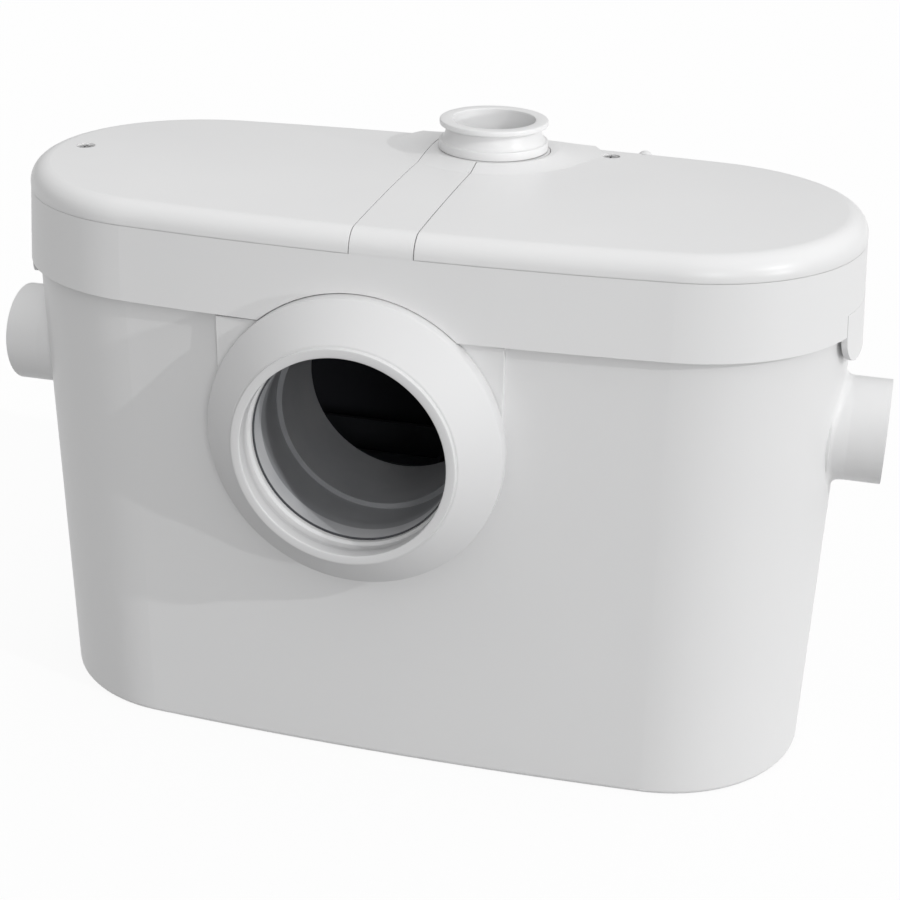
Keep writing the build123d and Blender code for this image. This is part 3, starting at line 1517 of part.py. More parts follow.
with BuildPart() as switch_cap:
    with BuildSketch(Plane.XY.offset(cap_z)):
        with Locations((bell_x, bell_y)):
            Circle(switch_radius)
    extrude(amount=switch_cap_height)
    with BuildSketch(Plane.XY.offset(cap_z)):
        with Locations((bell_x, bell_y)):
            Circle(switch_radius - switch_cap_wall)
    extrude(amount=switch_cap_height - switch_cap_wall, mode=Mode.SUBTRACT)
    with BuildSketch(Plane.XY.offset(cap_z)):
        with Locations((bell_x, bell_y)):
            Circle(plunger_radius + body_gap)
    extrude(amount=switch_cap_height + overrun, mode=Mode.SUBTRACT)
switch_cap.part.label = "switch_cap"
export_step(switch_cap.part, "parts/switch_cap.step")

with BuildPart() as switch_plunger:
    with BuildSketch(Plane.XY.offset(cap_z + body_gap)):
        with Locations((bell_x, bell_y)):
            Circle(plunger_disc_radius)
    extrude(amount=plunger_disc_wall)
    with BuildSketch(Plane.XY.offset(cap_z + body_gap)):
        with Locations((bell_x, bell_y)):
            Circle(plunger_radius)
    extrude(amount=plunger_length)
switch_plunger.part.label = "switch_plunger"
export_step(switch_plunger.part, "parts/switch_plunger.step")

pocket_depth = plunger_length + 2 * body_gap + plunger_travel - switch_cap_height
with BuildPart() as micro_switch:
    with BuildSketch(Plane.XY.offset(cap_top)):
        with Locations((bell_x, bell_y)):
            Rectangle(micro_length, micro_width)
    extrude(amount=micro_height)
    with BuildSketch(Plane.XY.offset(cap_top)):
        with Locations((bell_x, bell_y)):
            Circle(plunger_radius + body_gap)
    extrude(amount=pocket_depth, mode=Mode.SUBTRACT)
micro_switch.part.label = "micro_switch"
export_step(micro_switch.part, "parts/micro_switch.step")

# Electrical box with its cover, capacitor and terminal block
box_floor = deck_top + box_wall
with BuildPart() as control_box:
    with BuildSketch(Plane.XY.offset(deck_top)):
        with Locations((box_x, box_y)):
            RectangleRounded(box_length, box_width, box_corner)
    extrude(amount=box_height)
    with BuildSketch(Plane.XY.offset(box_floor)):
        with Locations((box_x, box_y)):
            RectangleRounded(box_length - 2 * box_wall, box_width - 2 * box_wall, box_corner - box_wall)
    extrude(amount=box_height, mode=Mode.SUBTRACT)
    with BuildSketch(Plane.YZ.offset(box_x)):
        with Locations((lead_y, lead_z)):
            Circle(lead_radius + snug_gap)
    extrude(amount=box_length, mode=Mode.SUBTRACT)
    with BuildSketch(Plane.XZ.offset(-box_y)):
        with Locations((bell_x, micro_lead_low)):
            Circle(micro_lead_radius + snug_gap)
    extrude(amount=-box_width, mode=Mode.SUBTRACT)
control_box.part.label = "control_box"
export_step(control_box.part, "parts/control_box.step")

with BuildPart() as control_box_cover:
    with BuildSketch(Plane.XY.offset(deck_top + box_height)):
        with Locations((box_x, box_y)):
            RectangleRounded(box_length, box_width, box_corner)
    extrude(amount=box_cover_wall)
    fillet(control_box_cover.faces().sort_by(Axis.Z)[-1].edges(), box_cover_wall / 2)
control_box_cover.part.label = "control_box_cover"
export_step(control_box_cover.part, "parts/control_box_cover.step")

capacitor = level_ring(
    capacitor_x - capacitor_length / 2, capacitor_y, box_floor + capacitor_radius,
    capacitor_length, capacitor_radius, 0,
)
capacitor.label = "capacitor"
export_step(capacitor, "parts/capacitor.step")

with BuildPart() as terminal_block:
    with BuildSketch(Plane.XY.offset(box_floor)):
        with Locations((block_x, block_y)):
            Rectangle(block_length, block_width)
    extrude(amount=block_height)
terminal_block.part.label = "terminal_block"
export_step(terminal_block.part, "parts/terminal_block.step")

# Cable gland through the back of the skirt, with its nut inside
gland_outer_y = side_y(gland_x + gland_radius, *lid_size(gland_z - gland_radius, 0)) + snug_gap
gland_inner_y = side_y(gland_x - gland_nut_radius, *lid_size(gland_z + gland_nut_radius, lid_wall))
gland_nut_y = gland_inner_y - snug_gap
gland_end_y = gland_outer_y + gland_reach
with BuildPart() as cable_gland:
    with BuildSketch(Plane.XZ.offset(-gland_outer_y)):
        with Locations((gland_x, gland_z)):
            RegularPolygon(gland_radius, 6)
    extrude(amount=-gland_reach / 2)
    with BuildSketch(Plane.XZ.offset(-gland_outer_y)):
        with Locations((gland_x, gland_z)):
            Circle(gland_shank)
    extrude(amount=-gland_reach)
    fillet(cable_gland.faces().sort_by(Axis.Y)[-1].edges(), gland_reach / 8)
    with BuildSketch(Plane.XZ.offset(-gland_outer_y)):
        with Locations((gland_x, gland_z)):
            Circle(gland_shank)
    extrude(amount=gland_outer_y - gland_nut_y + gland_nut_wall)
    with BuildSketch(Plane.XZ.offset(-gland_end_y - overrun)):
        with Locations((gland_x, gland_z)):
            Circle(gland_bore)
    extrude(amount=gland_end_y - gland_nut_y + gland_nut_wall + 2 * overrun, mode=Mode.SUBTRACT)
    with BuildSketch(Plane.XZ.offset(-gland_nut_y)):
        with Locations((gland_x, gland_z)):
            RegularPolygon(gland_nut_radius, 6)
            Circle(gland_shank + snug_gap, mode=Mode.SUBTRACT)
    extrude(amount=gland_nut_wall)
cable_gland.part.label = "cable_gland"
export_step(cable_gland.part, "parts/cable_gland.step")
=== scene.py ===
import json
import math
import bpy
import bmesh
from mathutils import Matrix, Vector


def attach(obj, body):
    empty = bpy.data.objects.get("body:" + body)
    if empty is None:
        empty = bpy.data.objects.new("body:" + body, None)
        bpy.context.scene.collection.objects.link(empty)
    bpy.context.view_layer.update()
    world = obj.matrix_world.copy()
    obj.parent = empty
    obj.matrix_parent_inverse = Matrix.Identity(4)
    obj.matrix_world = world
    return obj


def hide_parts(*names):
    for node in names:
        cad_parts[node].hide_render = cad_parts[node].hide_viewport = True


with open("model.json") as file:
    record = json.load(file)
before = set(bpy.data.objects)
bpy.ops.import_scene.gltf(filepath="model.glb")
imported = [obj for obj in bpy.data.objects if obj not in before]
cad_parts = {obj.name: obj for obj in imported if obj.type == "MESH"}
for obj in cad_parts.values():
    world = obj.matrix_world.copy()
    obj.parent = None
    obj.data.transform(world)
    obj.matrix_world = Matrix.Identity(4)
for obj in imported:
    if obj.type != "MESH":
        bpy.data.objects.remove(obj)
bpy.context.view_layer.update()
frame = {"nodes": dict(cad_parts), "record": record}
print("stage: frame loaded,", len(frame["nodes"]), "nodes")

mm = 0.001

# Corners closer than these distances are welded, in metres
solidWeld = 0.000002
turnedWeld = 0.00001

# A rounded corner takes at most this share of the sides that meet there
cornerShare = 0.45
sharpAngle = 35   # degrees

# The camera stands where the photograph was taken from, found from its outline
cameraSettings = {
    "place": (206.852, -783.067, 509.2),   # mm
    "turn": 14.1601,                       # degrees round Z from the front
    "tilt": 24.7782,                       # degrees down
    "roll": 1.272,
    "focalPixels": 1747.065,
    "imagePixels": 900,
    "sensorWidth": 36,                     # mm
    "clipStart": 0.01,                     # m
}


def makeCamera(s):
    turn, tilt, roll = (math.radians(s[k]) for k in ("turn", "tilt", "roll"))
    back = Vector((math.sin(turn) * math.cos(tilt), -math.cos(turn) * math.cos(tilt), math.sin(tilt)))
    right = Vector((math.cos(turn), math.sin(turn), 0))
    up = back.cross(right)
    rightRolled = right * math.cos(roll) + up * math.sin(roll)
    upRolled = up * math.cos(roll) - right * math.sin(roll)
    data = bpy.data.cameras.new("photoCamera")
    data.sensor_width = s["sensorWidth"]
    data.lens = s["focalPixels"] / s["imagePixels"] * data.sensor_width
    data.clip_start = s["clipStart"]
    camera = bpy.data.objects.new("photoCamera", data)
    turned = Matrix((rightRolled, upRolled, back)).transposed().to_4x4()
    camera.matrix_world = Matrix.Translation(Vector(s["place"]) * mm) @ turned
    bpy.context.collection.objects.link(camera)
    bpy.context.scene.camera = camera


makeCamera(cameraSettings)
bpy.context.scene.view_settings.view_transform = "Standard"


# Shader maths: a wrapped socket takes part in plain Python sums
class Sock:
    def __init__(self, tree, out):
        self.tree = tree
        self.out = out

    def sum(self, operation, *values):
        return addNode(self.tree, "ShaderNodeMath", {"operation": operation}, list(values))

    def __add__(self, other): return self.sum("ADD", self, other)
    def __radd__(self, other): return self.sum("ADD", other, self)
    def __sub__(self, other): return self.sum("SUBTRACT", self, other)
    def __rsub__(self, other): return self.sum("SUBTRACT", other, self)
    def __mul__(self, other): return self.sum("MULTIPLY", self, other)
    def __truediv__(self, other): return self.sum("DIVIDE", self, other)


def addNode(tree, kind, settings=None, inputs=None, output=0):
    node = tree.nodes.new(kind)
    for key, value in (settings or {}).items():
        if key == "stops":
            ramp = node.color_ramp
            while len(ramp.elements) < len(value):
                ramp.elements.new(0.5)
            for element, (place, colour) in zip(ramp.elements, value):
                element.position = place
                element.color = (*colour, 1)
        else:
            setattr(node, key, value)
    pairs = inputs.items() if isinstance(inputs, dict) else enumerate(inputs or [])
    for key, value in pairs:
        if value is None:
            continue
        if isinstance(value, Sock):
            tree.links.new(value.out, node.inputs[key])
        else:
            node.inputs[key].default_value = value
    return Sock(tree, node.outputs[output])


def newMaterial(name):
    material = bpy.data.materials.new(name)
    material.use_nodes = True
    material.node_tree.nodes.clear()
    return material, material.node_tree


def closeMaterial(tree, inputs):
    shader = addNode(tree, "ShaderNodeBsdfPrincipled", {}, inputs)
    end = tree.nodes.new("ShaderNodeOutputMaterial")
    tree.links.new(shader.out, end.inputs["Surface"])


def noise(tree, place, scale, detail=2.0, rough=0.5):
    inputs = {"Vector": place, "Scale": scale, "Detail": detail, "Roughness": rough}
    return addNode(tree, "ShaderNodeTexNoise", {}, inputs)


# Sockets 0, 6 and 7 of a mix of colours are its factor and its two colours
def mixed(tree, factor, one, two, blend="MIX"):
    settings = {"data_type": "RGBA", "blend_type": blend}
    return addNode(tree, "ShaderNodeMix", settings, {0: factor, 6: one, 7: two}, output=2)


def tinted(tree, factor, dark, light):
    return mixed(tree, factor, (*dark, 1), (*light, 1))


def clamped(tree, value, low, high):
    inputs = {"Value": value, "From Min": low, "From Max": high}
    return addNode(tree, "ShaderNodeMapRange", {"clamp": True}, inputs)


def bumped(tree, height, strength, distance, normal=None):
    inputs = {"Strength": strength, "Distance": distance, "Height": height, "Normal": normal}
    return addNode(tree, "ShaderNodeBump", {}, inputs)


def bevelled(tree, radius):
    return addNode(tree, "ShaderNodeBevel", {"samples": 4}, {"Radius": radius})


# An edge of 0 leaves the edges as they are
def closeMoulded(tree, s, colour, mottle, fine):
    edge = bevelled(tree, s["edge"]) if s["edge"] > 0 else None
    closeMaterial(tree, {
        "Base Color": colour,
        "Roughness": s["rough"] + (mottle - 0.5) * s["roughSpread"] + (fine - 0.5) * s["roughSpread"],
        "Specular IOR Level": s["specular"],
        "Normal": bumped(tree, fine, s["grain"], s["grainDepth"], edge),
    })


# Moulded plastic: slow mottle in the colour, fine spark grain in the surface,
# softened edges and painted shade, tinted dust-grey, where surfaces meet
def mouldedPlastic(name, s):
    material, tree = newMaterial(name)
    place = addNode(tree, "ShaderNodeTexCoord", output=3)
    mottle = noise(tree, place, s["mottleScale"], s["mottleDetail"])
    fine = noise(tree, place, s["grainScale"])
    # Painted shade: ambient occlusion darkens the colour where surfaces meet
    creaseShade = addNode(tree, "ShaderNodeAmbientOcclusion", {"samples": 4}, {"Distance": s["creaseShadeReach"]}, output=1)
    colour = tinted(tree, mottle, s["dark"], s["light"])
    creaseShaded = mixed(tree, (1 - creaseShade) * s["creaseShade"], colour, (*s["creaseShadeColour"], 1))
    closeMoulded(tree, s, creaseShaded, mottle, fine)
    return material


whiteBase = {
    "mottleScale": 9.0, "mottleDetail": 3.0, "grainScale": 1500.0, "grain": 0.12, "grainDepth": 0.00012,
    "dark": (0.775, 0.776, 0.780), "light": (0.815, 0.815, 0.816),
    # The next line sets the strength, tint and reach of the painted crease shade
    "creaseShade": 0.16, "creaseShadeColour": (0.42, 0.41, 0.39), "creaseShadeReach": 0.006,
    "edge": 0.0006, "rough": 0.36, "roughSpread": 0.10, "specular": 0.42,
}
frameWhite = mouldedPlastic("frameWhite", {**whiteBase, "edge": 0})
hatchWhite = mouldedPlastic("hatchWhite", {**whiteBase, "mottleScale": 11.0, "rough": 0.33})
collarSoft = mouldedPlastic("collarSoft", {
    **whiteBase, "grainScale": 900.0, "grain": 0.2, "rough": 0.5, "specular": 0.35,
    "dark": (0.715, 0.716, 0.722), "light": (0.75, 0.75, 0.752),
})
innerPale = mouldedPlastic("innerPale", {
    **whiteBase, "dark": (0.50, 0.51, 0.53), "light": (0.62, 0.63, 0.65), "rough": 0.45, "mottleScale": 30.0,
})
deckGrey = mouldedPlastic("deckGrey", {
    **whiteBase, "dark": (0.34, 0.35, 0.37), "light": (0.42, 0.43, 0.45), "rough": 0.5, "edge": 0,
    "mottleScale": 22.0, "grainScale": 1100.0, "grain": 0.3,
})
boxGrey = mouldedPlastic("boxGrey", {
    **whiteBase, "dark": (0.18, 0.185, 0.2), "light": (0.24, 0.245, 0.26), "rough": 0.5, "grain": 0.3,
})
blackPlastic = mouldedPlastic("blackPlastic", {
    **whiteBase, "dark": (0.018, 0.019, 0.022), "light": (0.034, 0.036, 0.042), "rough": 0.42,
    "creaseShadeColour": (0.10, 0.095, 0.09), "mottleScale": 40.0, "grain": 0.25,
})
darkRubber = mouldedPlastic("darkRubber", {
    **whiteBase, "dark": (0.012, 0.012, 0.013), "light": (0.03, 0.03, 0.031), "rough": 0.72, "specular": 0.3,
    "creaseShadeColour": (0.12, 0.115, 0.11), "mottleScale": 60.0, "grainScale": 700.0, "grain": 0.45,
})


# Tank: white outside, with painted shade, near-black, on its inner walls
def innerShadedPlastic(name, s):
    material, tree = newMaterial(name)
    place = addNode(tree, "ShaderNodeTexCoord", output=3)
    mottle = noise(tree, place, s["mottleScale"], s["mottleDetail"])
    fine = noise(tree, place, s["grainScale"])
    facing = addNode(tree, "ShaderNodeTexCoord", output=1)
    outward = addNode(tree, "ShaderNodeVectorMath", {"operation": "MULTIPLY"}, [place, s["ovalShare"]])
    inward = addNode(tree, "ShaderNodeVectorMath", {"operation": "DOT_PRODUCT"}, [outward, facing], output=1)
    along = addNode(tree, "ShaderNodeSeparateXYZ", {}, [place], output=0)
    reach = addNode(tree, "ShaderNodeMath", {"operation": "ABSOLUTE"}, [along])
    within = addNode(tree, "ShaderNodeMath", {"operation": "LESS_THAN"}, [reach, s["innerReach"] * mm])
    # Painted shade: faces that look into the tank take a near-black colour
    innerShade = clamped(tree, 0 - inward, 0.0, s["innerShadeEdge"] * mm) * within
    base = tinted(tree, mottle, s["dark"], s["light"])
    innerShaded = mixed(tree, innerShade, base, tinted(tree, mottle, s["innerShadeDark"], s["innerShadeLight"]))
    closeMoulded(tree, s, innerShaded, mottle, fine)
    return material


tankWhite = innerShadedPlastic("tankWhite", {
    **whiteBase, "ovalShare": (0.22, 1.0, 0.0), "innerReach": 197.0, "innerShadeEdge": 4.0,
    # Near-black colours of the painted shade inside the tank
    "innerShadeDark": (0.020, 0.021, 0.026), "innerShadeLight": (0.055, 0.057, 0.066),
})


# Inlet duct: colour painted in bands by depth, standing in for light and shade: a dark line of painted shade
# at its mouth, a pale band of painted light, a dark ring of painted shade, then lighter towards the basket
def depthShadedDuct(name, s):
    material, tree = newMaterial(name)
    place = addNode(tree, "ShaderNodeTexCoord", output=3)
    depth = addNode(tree, "ShaderNodeSeparateXYZ", {}, [place], output=1)
    span = clamped(tree, depth, s["mouth"] * mm, s["end"] * mm)
    # Painted light and shade: the ramp lays lit and shaded bands along the duct
    paintedBands = addNode(tree, "ShaderNodeValToRGB", {"stops": s["stops"]}, {"Fac": span})
    stain = noise(tree, place, s["stainScale"], s["stainDetail"], s["stainRough"])
    fine = noise(tree, place, s["grainScale"])
    streaked = mixed(tree, s["stain"], paintedBands, tinted(tree, stain, s["stainDark"], (1, 1, 1)), "MULTIPLY")
    closeMaterial(tree, {
        "Base Color": streaked,
        "Roughness": s["rough"] + (stain - 0.5) * s["roughSpread"],
        "Normal": bumped(tree, fine, s["grain"], s["grainDepth"]),
    })
    return material


ductPlastic = depthShadedDuct("ductPlastic", {
    "mouth": -96.0, "end": -14.0, "grainScale": 1200.0, "grain": 0.15, "grainDepth": 0.0001,
    "stain": 0.8, "stainScale": 34.0, "stainDetail": 4.0, "stainRough": 0.6, "stainDark": (0.60, 0.62, 0.66),
    "rough": 0.42, "roughSpread": 0.2,
    # Painted light and shade bands, by share of the depth from mouth to end
    "stops": (
        (0.0085, (0.10, 0.102, 0.11)), (0.0105, (0.68, 0.68, 0.683)), (0.118, (0.64, 0.64, 0.645)),
        (0.122, (0.36, 0.362, 0.37)), (0.432, (0.31, 0.312, 0.32)), (0.435, (0.37, 0.372, 0.38)),
        (0.4405, (0.38, 0.382, 0.39)), (0.4425, (0.42, 0.422, 0.43)), (1.0, (0.48, 0.482, 0.49)),
    ),
})


# Metal: turned or brushed lines with a slow stain over them
def workedMetal(name, s):
    material, tree = newMaterial(name)
    place = addNode(tree, "ShaderNodeTexCoord", output=3)
    stretched = addNode(tree, "ShaderNodeMapping", {}, {"Vector": place, "Scale": s["lineScale"]})
    lines = noise(tree, stretched, 1.0, s["detail"], s["lineRough"])
    stain = noise(tree, place, s["stainScale"], s["detail"])
    closeMaterial(tree, {
        "Base Color": tinted(tree, clamped(tree, stain, *s["stainSpan"]), s["dark"], s["light"]),
        "Metallic": 1.0,
        "Roughness": s["rough"] + (lines - 0.5) * s["roughSpread"],
        "Normal": bumped(tree, lines, s["line"], s["lineDepth"], bevelled(tree, s["edge"])),
    })
    return material


metalBase = {"detail": 3.0, "lineRough": 0.65, "lineDepth": 0.0001, "stainSpan": (0.3, 0.7)}
steelTurned = workedMetal("steelTurned", {
    **metalBase, "lineScale": (2600, 60, 60), "stainScale": 60.0, "edge": 0.0003,
    "dark": (0.46, 0.46, 0.47), "light": (0.64, 0.64, 0.64), "rough": 0.3, "roughSpread": 0.22, "line": 0.25,
})
steelPlate = workedMetal("steelPlate", {
    **metalBase, "lineScale": (90, 90, 1800), "stainScale": 45.0, "edge": 0.0003,
    "dark": (0.40, 0.40, 0.41), "light": (0.60, 0.60, 0.60), "rough": 0.34, "roughSpread": 0.25, "line": 0.3,
})
castMetal = workedMetal("castMetal", {
    **metalBase, "lineScale": (700, 700, 700), "stainScale": 30.0, "edge": 0.0006,
    "dark": (0.36, 0.365, 0.37), "light": (0.52, 0.52, 0.525), "rough": 0.5, "roughSpread": 0.2, "line": 0.5,
})
copperWire = workedMetal("copperWire", {
    **metalBase, "lineScale": (120, 900, 900), "stainScale": 80.0, "edge": 0.0004,
    "dark": (0.42, 0.17, 0.08), "light": (0.68, 0.33, 0.17), "rough": 0.36, "roughSpread": 0.2, "line": 0.6,
})

finishOf = {
    "tank": tankWhite, "lid_frame": frameWhite, "left_latch_tab": frameWhite, "right_latch_tab": frameWhite,
    "left_hatch_cover": hatchWhite, "right_hatch_cover": hatchWhite, "vent_cap": hatchWhite,
    "discharge_neck": hatchWhite, "inlet_collar": collarSoft, "inlet_duct": ductPlastic,
    "deck_plate": deckGrey, "access_cover": boxGrey, "control_box": boxGrey, "control_box_cover": boxGrey,
    "terminal_block": innerPale, "left_hatch_screw": steelTurned, "right_hatch_screw": steelTurned,
    "access_screws": steelTurned, "volute_screws": steelTurned, "motor_cap_screws": steelTurned,
    "motor_shaft": steelTurned, "cutter_spacers": steelTurned, "flap_pins": steelTurned,
    "motor_bearings": steelTurned, "cutter_blades": steelPlate, "cutter_nut": steelPlate,
    "rotor_core": steelPlate, "stator_core": steelPlate, "motor_housing": castMetal,
    "motor_end_cap": castMetal, "capacitor": castMetal, "stator_windings": copperWire,
    "inlet_gasket": darkRubber, "tank_seal": darkRubber, "shaft_seal": darkRubber, "motor_pads": darkRubber,
    "lead_grommets": darkRubber, "discharge_pipe": darkRubber, "pipe_sleeve": darkRubber,
    "discharge_flap": darkRubber, "left_inlet_flap": darkRubber, "right_inlet_flap": darkRubber,
    "neck_o_ring": darkRubber, "switch_diaphragm": darkRubber, "inner_leads": darkRubber,
}
for nodeName, item in frame["nodes"].items():
    item.data.materials.clear()
    item.data.materials.append(finishOf.get(nodeName, blackPlastic))
print("stage: finishes on nodes")


bodyOf = {node: body for body, nodes in frame["record"]["behaviour"]["bodies"].items() for node in nodes}


# A finished piece stands for its node, on the same body and with the same slot
def putInPlace(piece, node, material):
    piece.data.materials.clear()
    piece.data.materials.append(material)
    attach(piece, bodyOf[node])
    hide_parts(node)


# Each corner of an outline becomes an arc. A corner is (radius, height, rounding), in mm
def roundedOutline(corners, steps):
    points = []
    count = len(corners)
    for i, (r, h, rounding) in enumerate(corners):
        here = Vector((r, h))
        if rounding <= 0:
            points.append(here)
            continue
        before = Vector(corners[i - 1][:2]) - here
        after = Vector(corners[(i + 1) % count][:2]) - here
        halfTurn = before.angle(after) / 2
        run = min(rounding / math.tan(halfTurn), cornerShare * before.length, cornerShare * after.length)
        radius = run * math.tan(halfTurn)
        inward = (before.normalized() + after.normalized()).normalized()
        centre = here + inward * (radius / math.sin(halfTurn))
        start = here + before.normalized() * run - centre
        sweep = start.angle_signed(here + after.normalized() * run - centre)
        for k in range(steps + 1):
            turned = Matrix.Rotation(-sweep * k / steps, 2) @ start
            points.append(centre + turned)
    return points


# A closed outline turned about an axis that stands at a place
def turnedPiece(name, corners, centre, towards, sides, steps=4):
    axis = Vector(towards).normalized()
    across = axis.orthogonal().normalized()
    third = axis.cross(across)
    outline = roundedOutline(corners, steps)
    shape = bmesh.new()
    rings = []
    for k in range(sides):
        angle = 2 * math.pi * k / sides
        spoke = across * math.cos(angle) + third * math.sin(angle)
        rings.append([shape.verts.new((Vector(centre) + spoke * q.x + axis * q.y) * mm) for q in outline])
    for k in range(sides):
        one, two = rings[k], rings[(k + 1) % sides]
        for j in range(len(outline)):
            nextJ = (j + 1) % len(outline)
            shape.faces.new((one[j], one[nextJ], two[nextJ], two[j]))
    bmesh.ops.remove_doubles(shape, verts=shape.verts, dist=turnedWeld)
    bmesh.ops.recalc_face_normals(shape, faces=shape.faces)
    mesh = bpy.data.meshes.new(name)
    shape.to_mesh(mesh)
    shape.free()
    for face in mesh.polygons:
        face.use_smooth = True
    mesh.set_sharp_from_angle(angle=math.radians(sharpAngle))
    piece = bpy.data.objects.new(name, mesh)
    bpy.context.collection.objects.link(piece)
    return piece


# Pan collar: a soft flared ring whose bore widens in fine steps before its inner lip
panCollar = {
    "centre": (-12.2, 0, 178.5), "front": 113.0, "back": 89.0, "bore": 48.2, "ring": 52.6, "rim": 70.0,
    "rimWidth": 7.5, "relief": 49.6, "step": 95.9, "sleeve": 50.6, "skin": 3.2, "ringDepth": 2.0,
    "land": 6.0, "steps": 2, "stepPitch": 2.6, "stepRise": 0.7, "sides": 192,
    "reliefEnd": 99.2, "lipBore": 48.25, "lipRise": 0.9, "ringFoot": 1.0,
    "soften": 0.45, "stepSoften": 0.12, "lipSoften": 0.15, "sleeveSoften": 0.2, "backSoften": 0.3,
    "innerSoften": 1.0, "rimSoften": 1.6, "footSoften": 0.8,
}


def makePanCollar(s):
    front, back, cone = s["front"], s["back"], s["back"] + s["rimWidth"]
    landEnd = front - s["land"]
    corners = [(s["bore"], front, s["soften"])]
    bore, place = s["bore"], landEnd
    for _ in range(s["steps"]):
        corners.append((bore, place, s["stepSoften"]))
        bore += s["stepRise"]
        corners.append((bore, place, s["stepSoften"]))
        place -= s["stepPitch"]
    corners += [
        (s["relief"], s["reliefEnd"], s["stepSoften"]),
        (s["lipBore"], s["reliefEnd"] - s["lipRise"], s["backSoften"]),
        (s["lipBore"], s["step"], s["lipSoften"]),
        (s["sleeve"], s["step"], s["sleeveSoften"]),
        (s["sleeve"], back, s["backSoften"]),
        (s["sleeve"] + s["skin"], back, s["backSoften"]),
        (s["sleeve"] + s["skin"], front - 2 * s["skin"] - s["ringDepth"], s["innerSoften"]),
        (s["rim"] - s["skin"], cone - s["ringDepth"], s["innerSoften"]),
        (s["rim"] - s["skin"], back, s["backSoften"]),
        (s["rim"], back, s["soften"]),
        (s["rim"], cone, s["rimSoften"]),
        (s["ring"] + s["ringFoot"], front - s["ringDepth"], s["footSoften"]),
        (s["ring"], front - s["ringDepth"], s["backSoften"]),
        (s["ring"], front, s["soften"]),
    ]
    piece = turnedPiece("panCollar", corners, s["centre"], (0, -1, 0), s["sides"])
    putInPlace(piece, "inlet_collar", collarSoft)


makePanCollar(panCollar)

# Discharge neck: foot, ledge, drawn-in waist and a lipped hose flange over its pipe
outletNeck = {
    "centre": (15.0, 52.0, 0), "seat": 281.0, "top": 295.6, "base": 27.3, "baseHeight": 4.3, "ledge": 26.0,
    "waist": 23.6, "flange": 27.1, "flangeWall": 2.8, "bore": 20.7, "wall": 2.5, "pipeEnd": 242.0,
    "waistSteps": 8, "waistPower": 2.2, "sides": 128,
    "boreSoften": 0.5, "pipeSoften": 0.4, "endSoften": 0.6, "footSoften": 0.3, "edgeSoften": 0.8,
    "lipSoften": 0.7,
}


def makeOutletNeck(s):
    ledgeZ = s["seat"] + s["baseHeight"]
    waistZ = s["top"] - s["flangeWall"]
    corners = [
        (s["bore"], s["top"], s["boreSoften"]),
        (s["bore"], s["pipeEnd"], s["pipeSoften"]),
        (s["bore"] + s["wall"], s["pipeEnd"], s["endSoften"]),
        (s["bore"] + s["wall"], s["seat"], 0),
        (s["base"], s["seat"], s["footSoften"]),
        (s["base"], ledgeZ, s["edgeSoften"]),
        (s["ledge"], ledgeZ, s["footSoften"]),
    ]
    for k in range(1, s["waistSteps"]):
        share = k / s["waistSteps"]
        bow = (1 - share) ** s["waistPower"]
        corners.append((s["waist"] + (s["ledge"] - s["waist"]) * bow, ledgeZ + (waistZ - ledgeZ) * share, 0))
    corners += [
        (s["waist"], waistZ, s["edgeSoften"]),
        (s["flange"], waistZ, s["edgeSoften"]),
        (s["flange"], s["top"], s["lipSoften"]),
    ]
    piece = turnedPiece("outletNeck", corners, s["centre"], (0, 0, 1), s["sides"])
    putInPlace(piece, "discharge_neck", hatchWhite)


makeOutletNeck(outletNeck)
print("stage: collar and neck")


# Screws: one tree makes a crowned cross-slot head and a ridged shank on each point.
# The shares are of the head's radius or height, but the ridges' is of the shank's radius
screwLook = {
    "headSides": 36, "headSteps": 3, "headRings": 4, "crownShare": 0.45, "slotReach": 1.15,
    "headSink": 0.8, "shankSides": 20, "shankSteps": 36, "ridges": 12, "ridgeShare": 0.06,
    "slotWidth": 0.24, "slotDepth": 0.55,
}


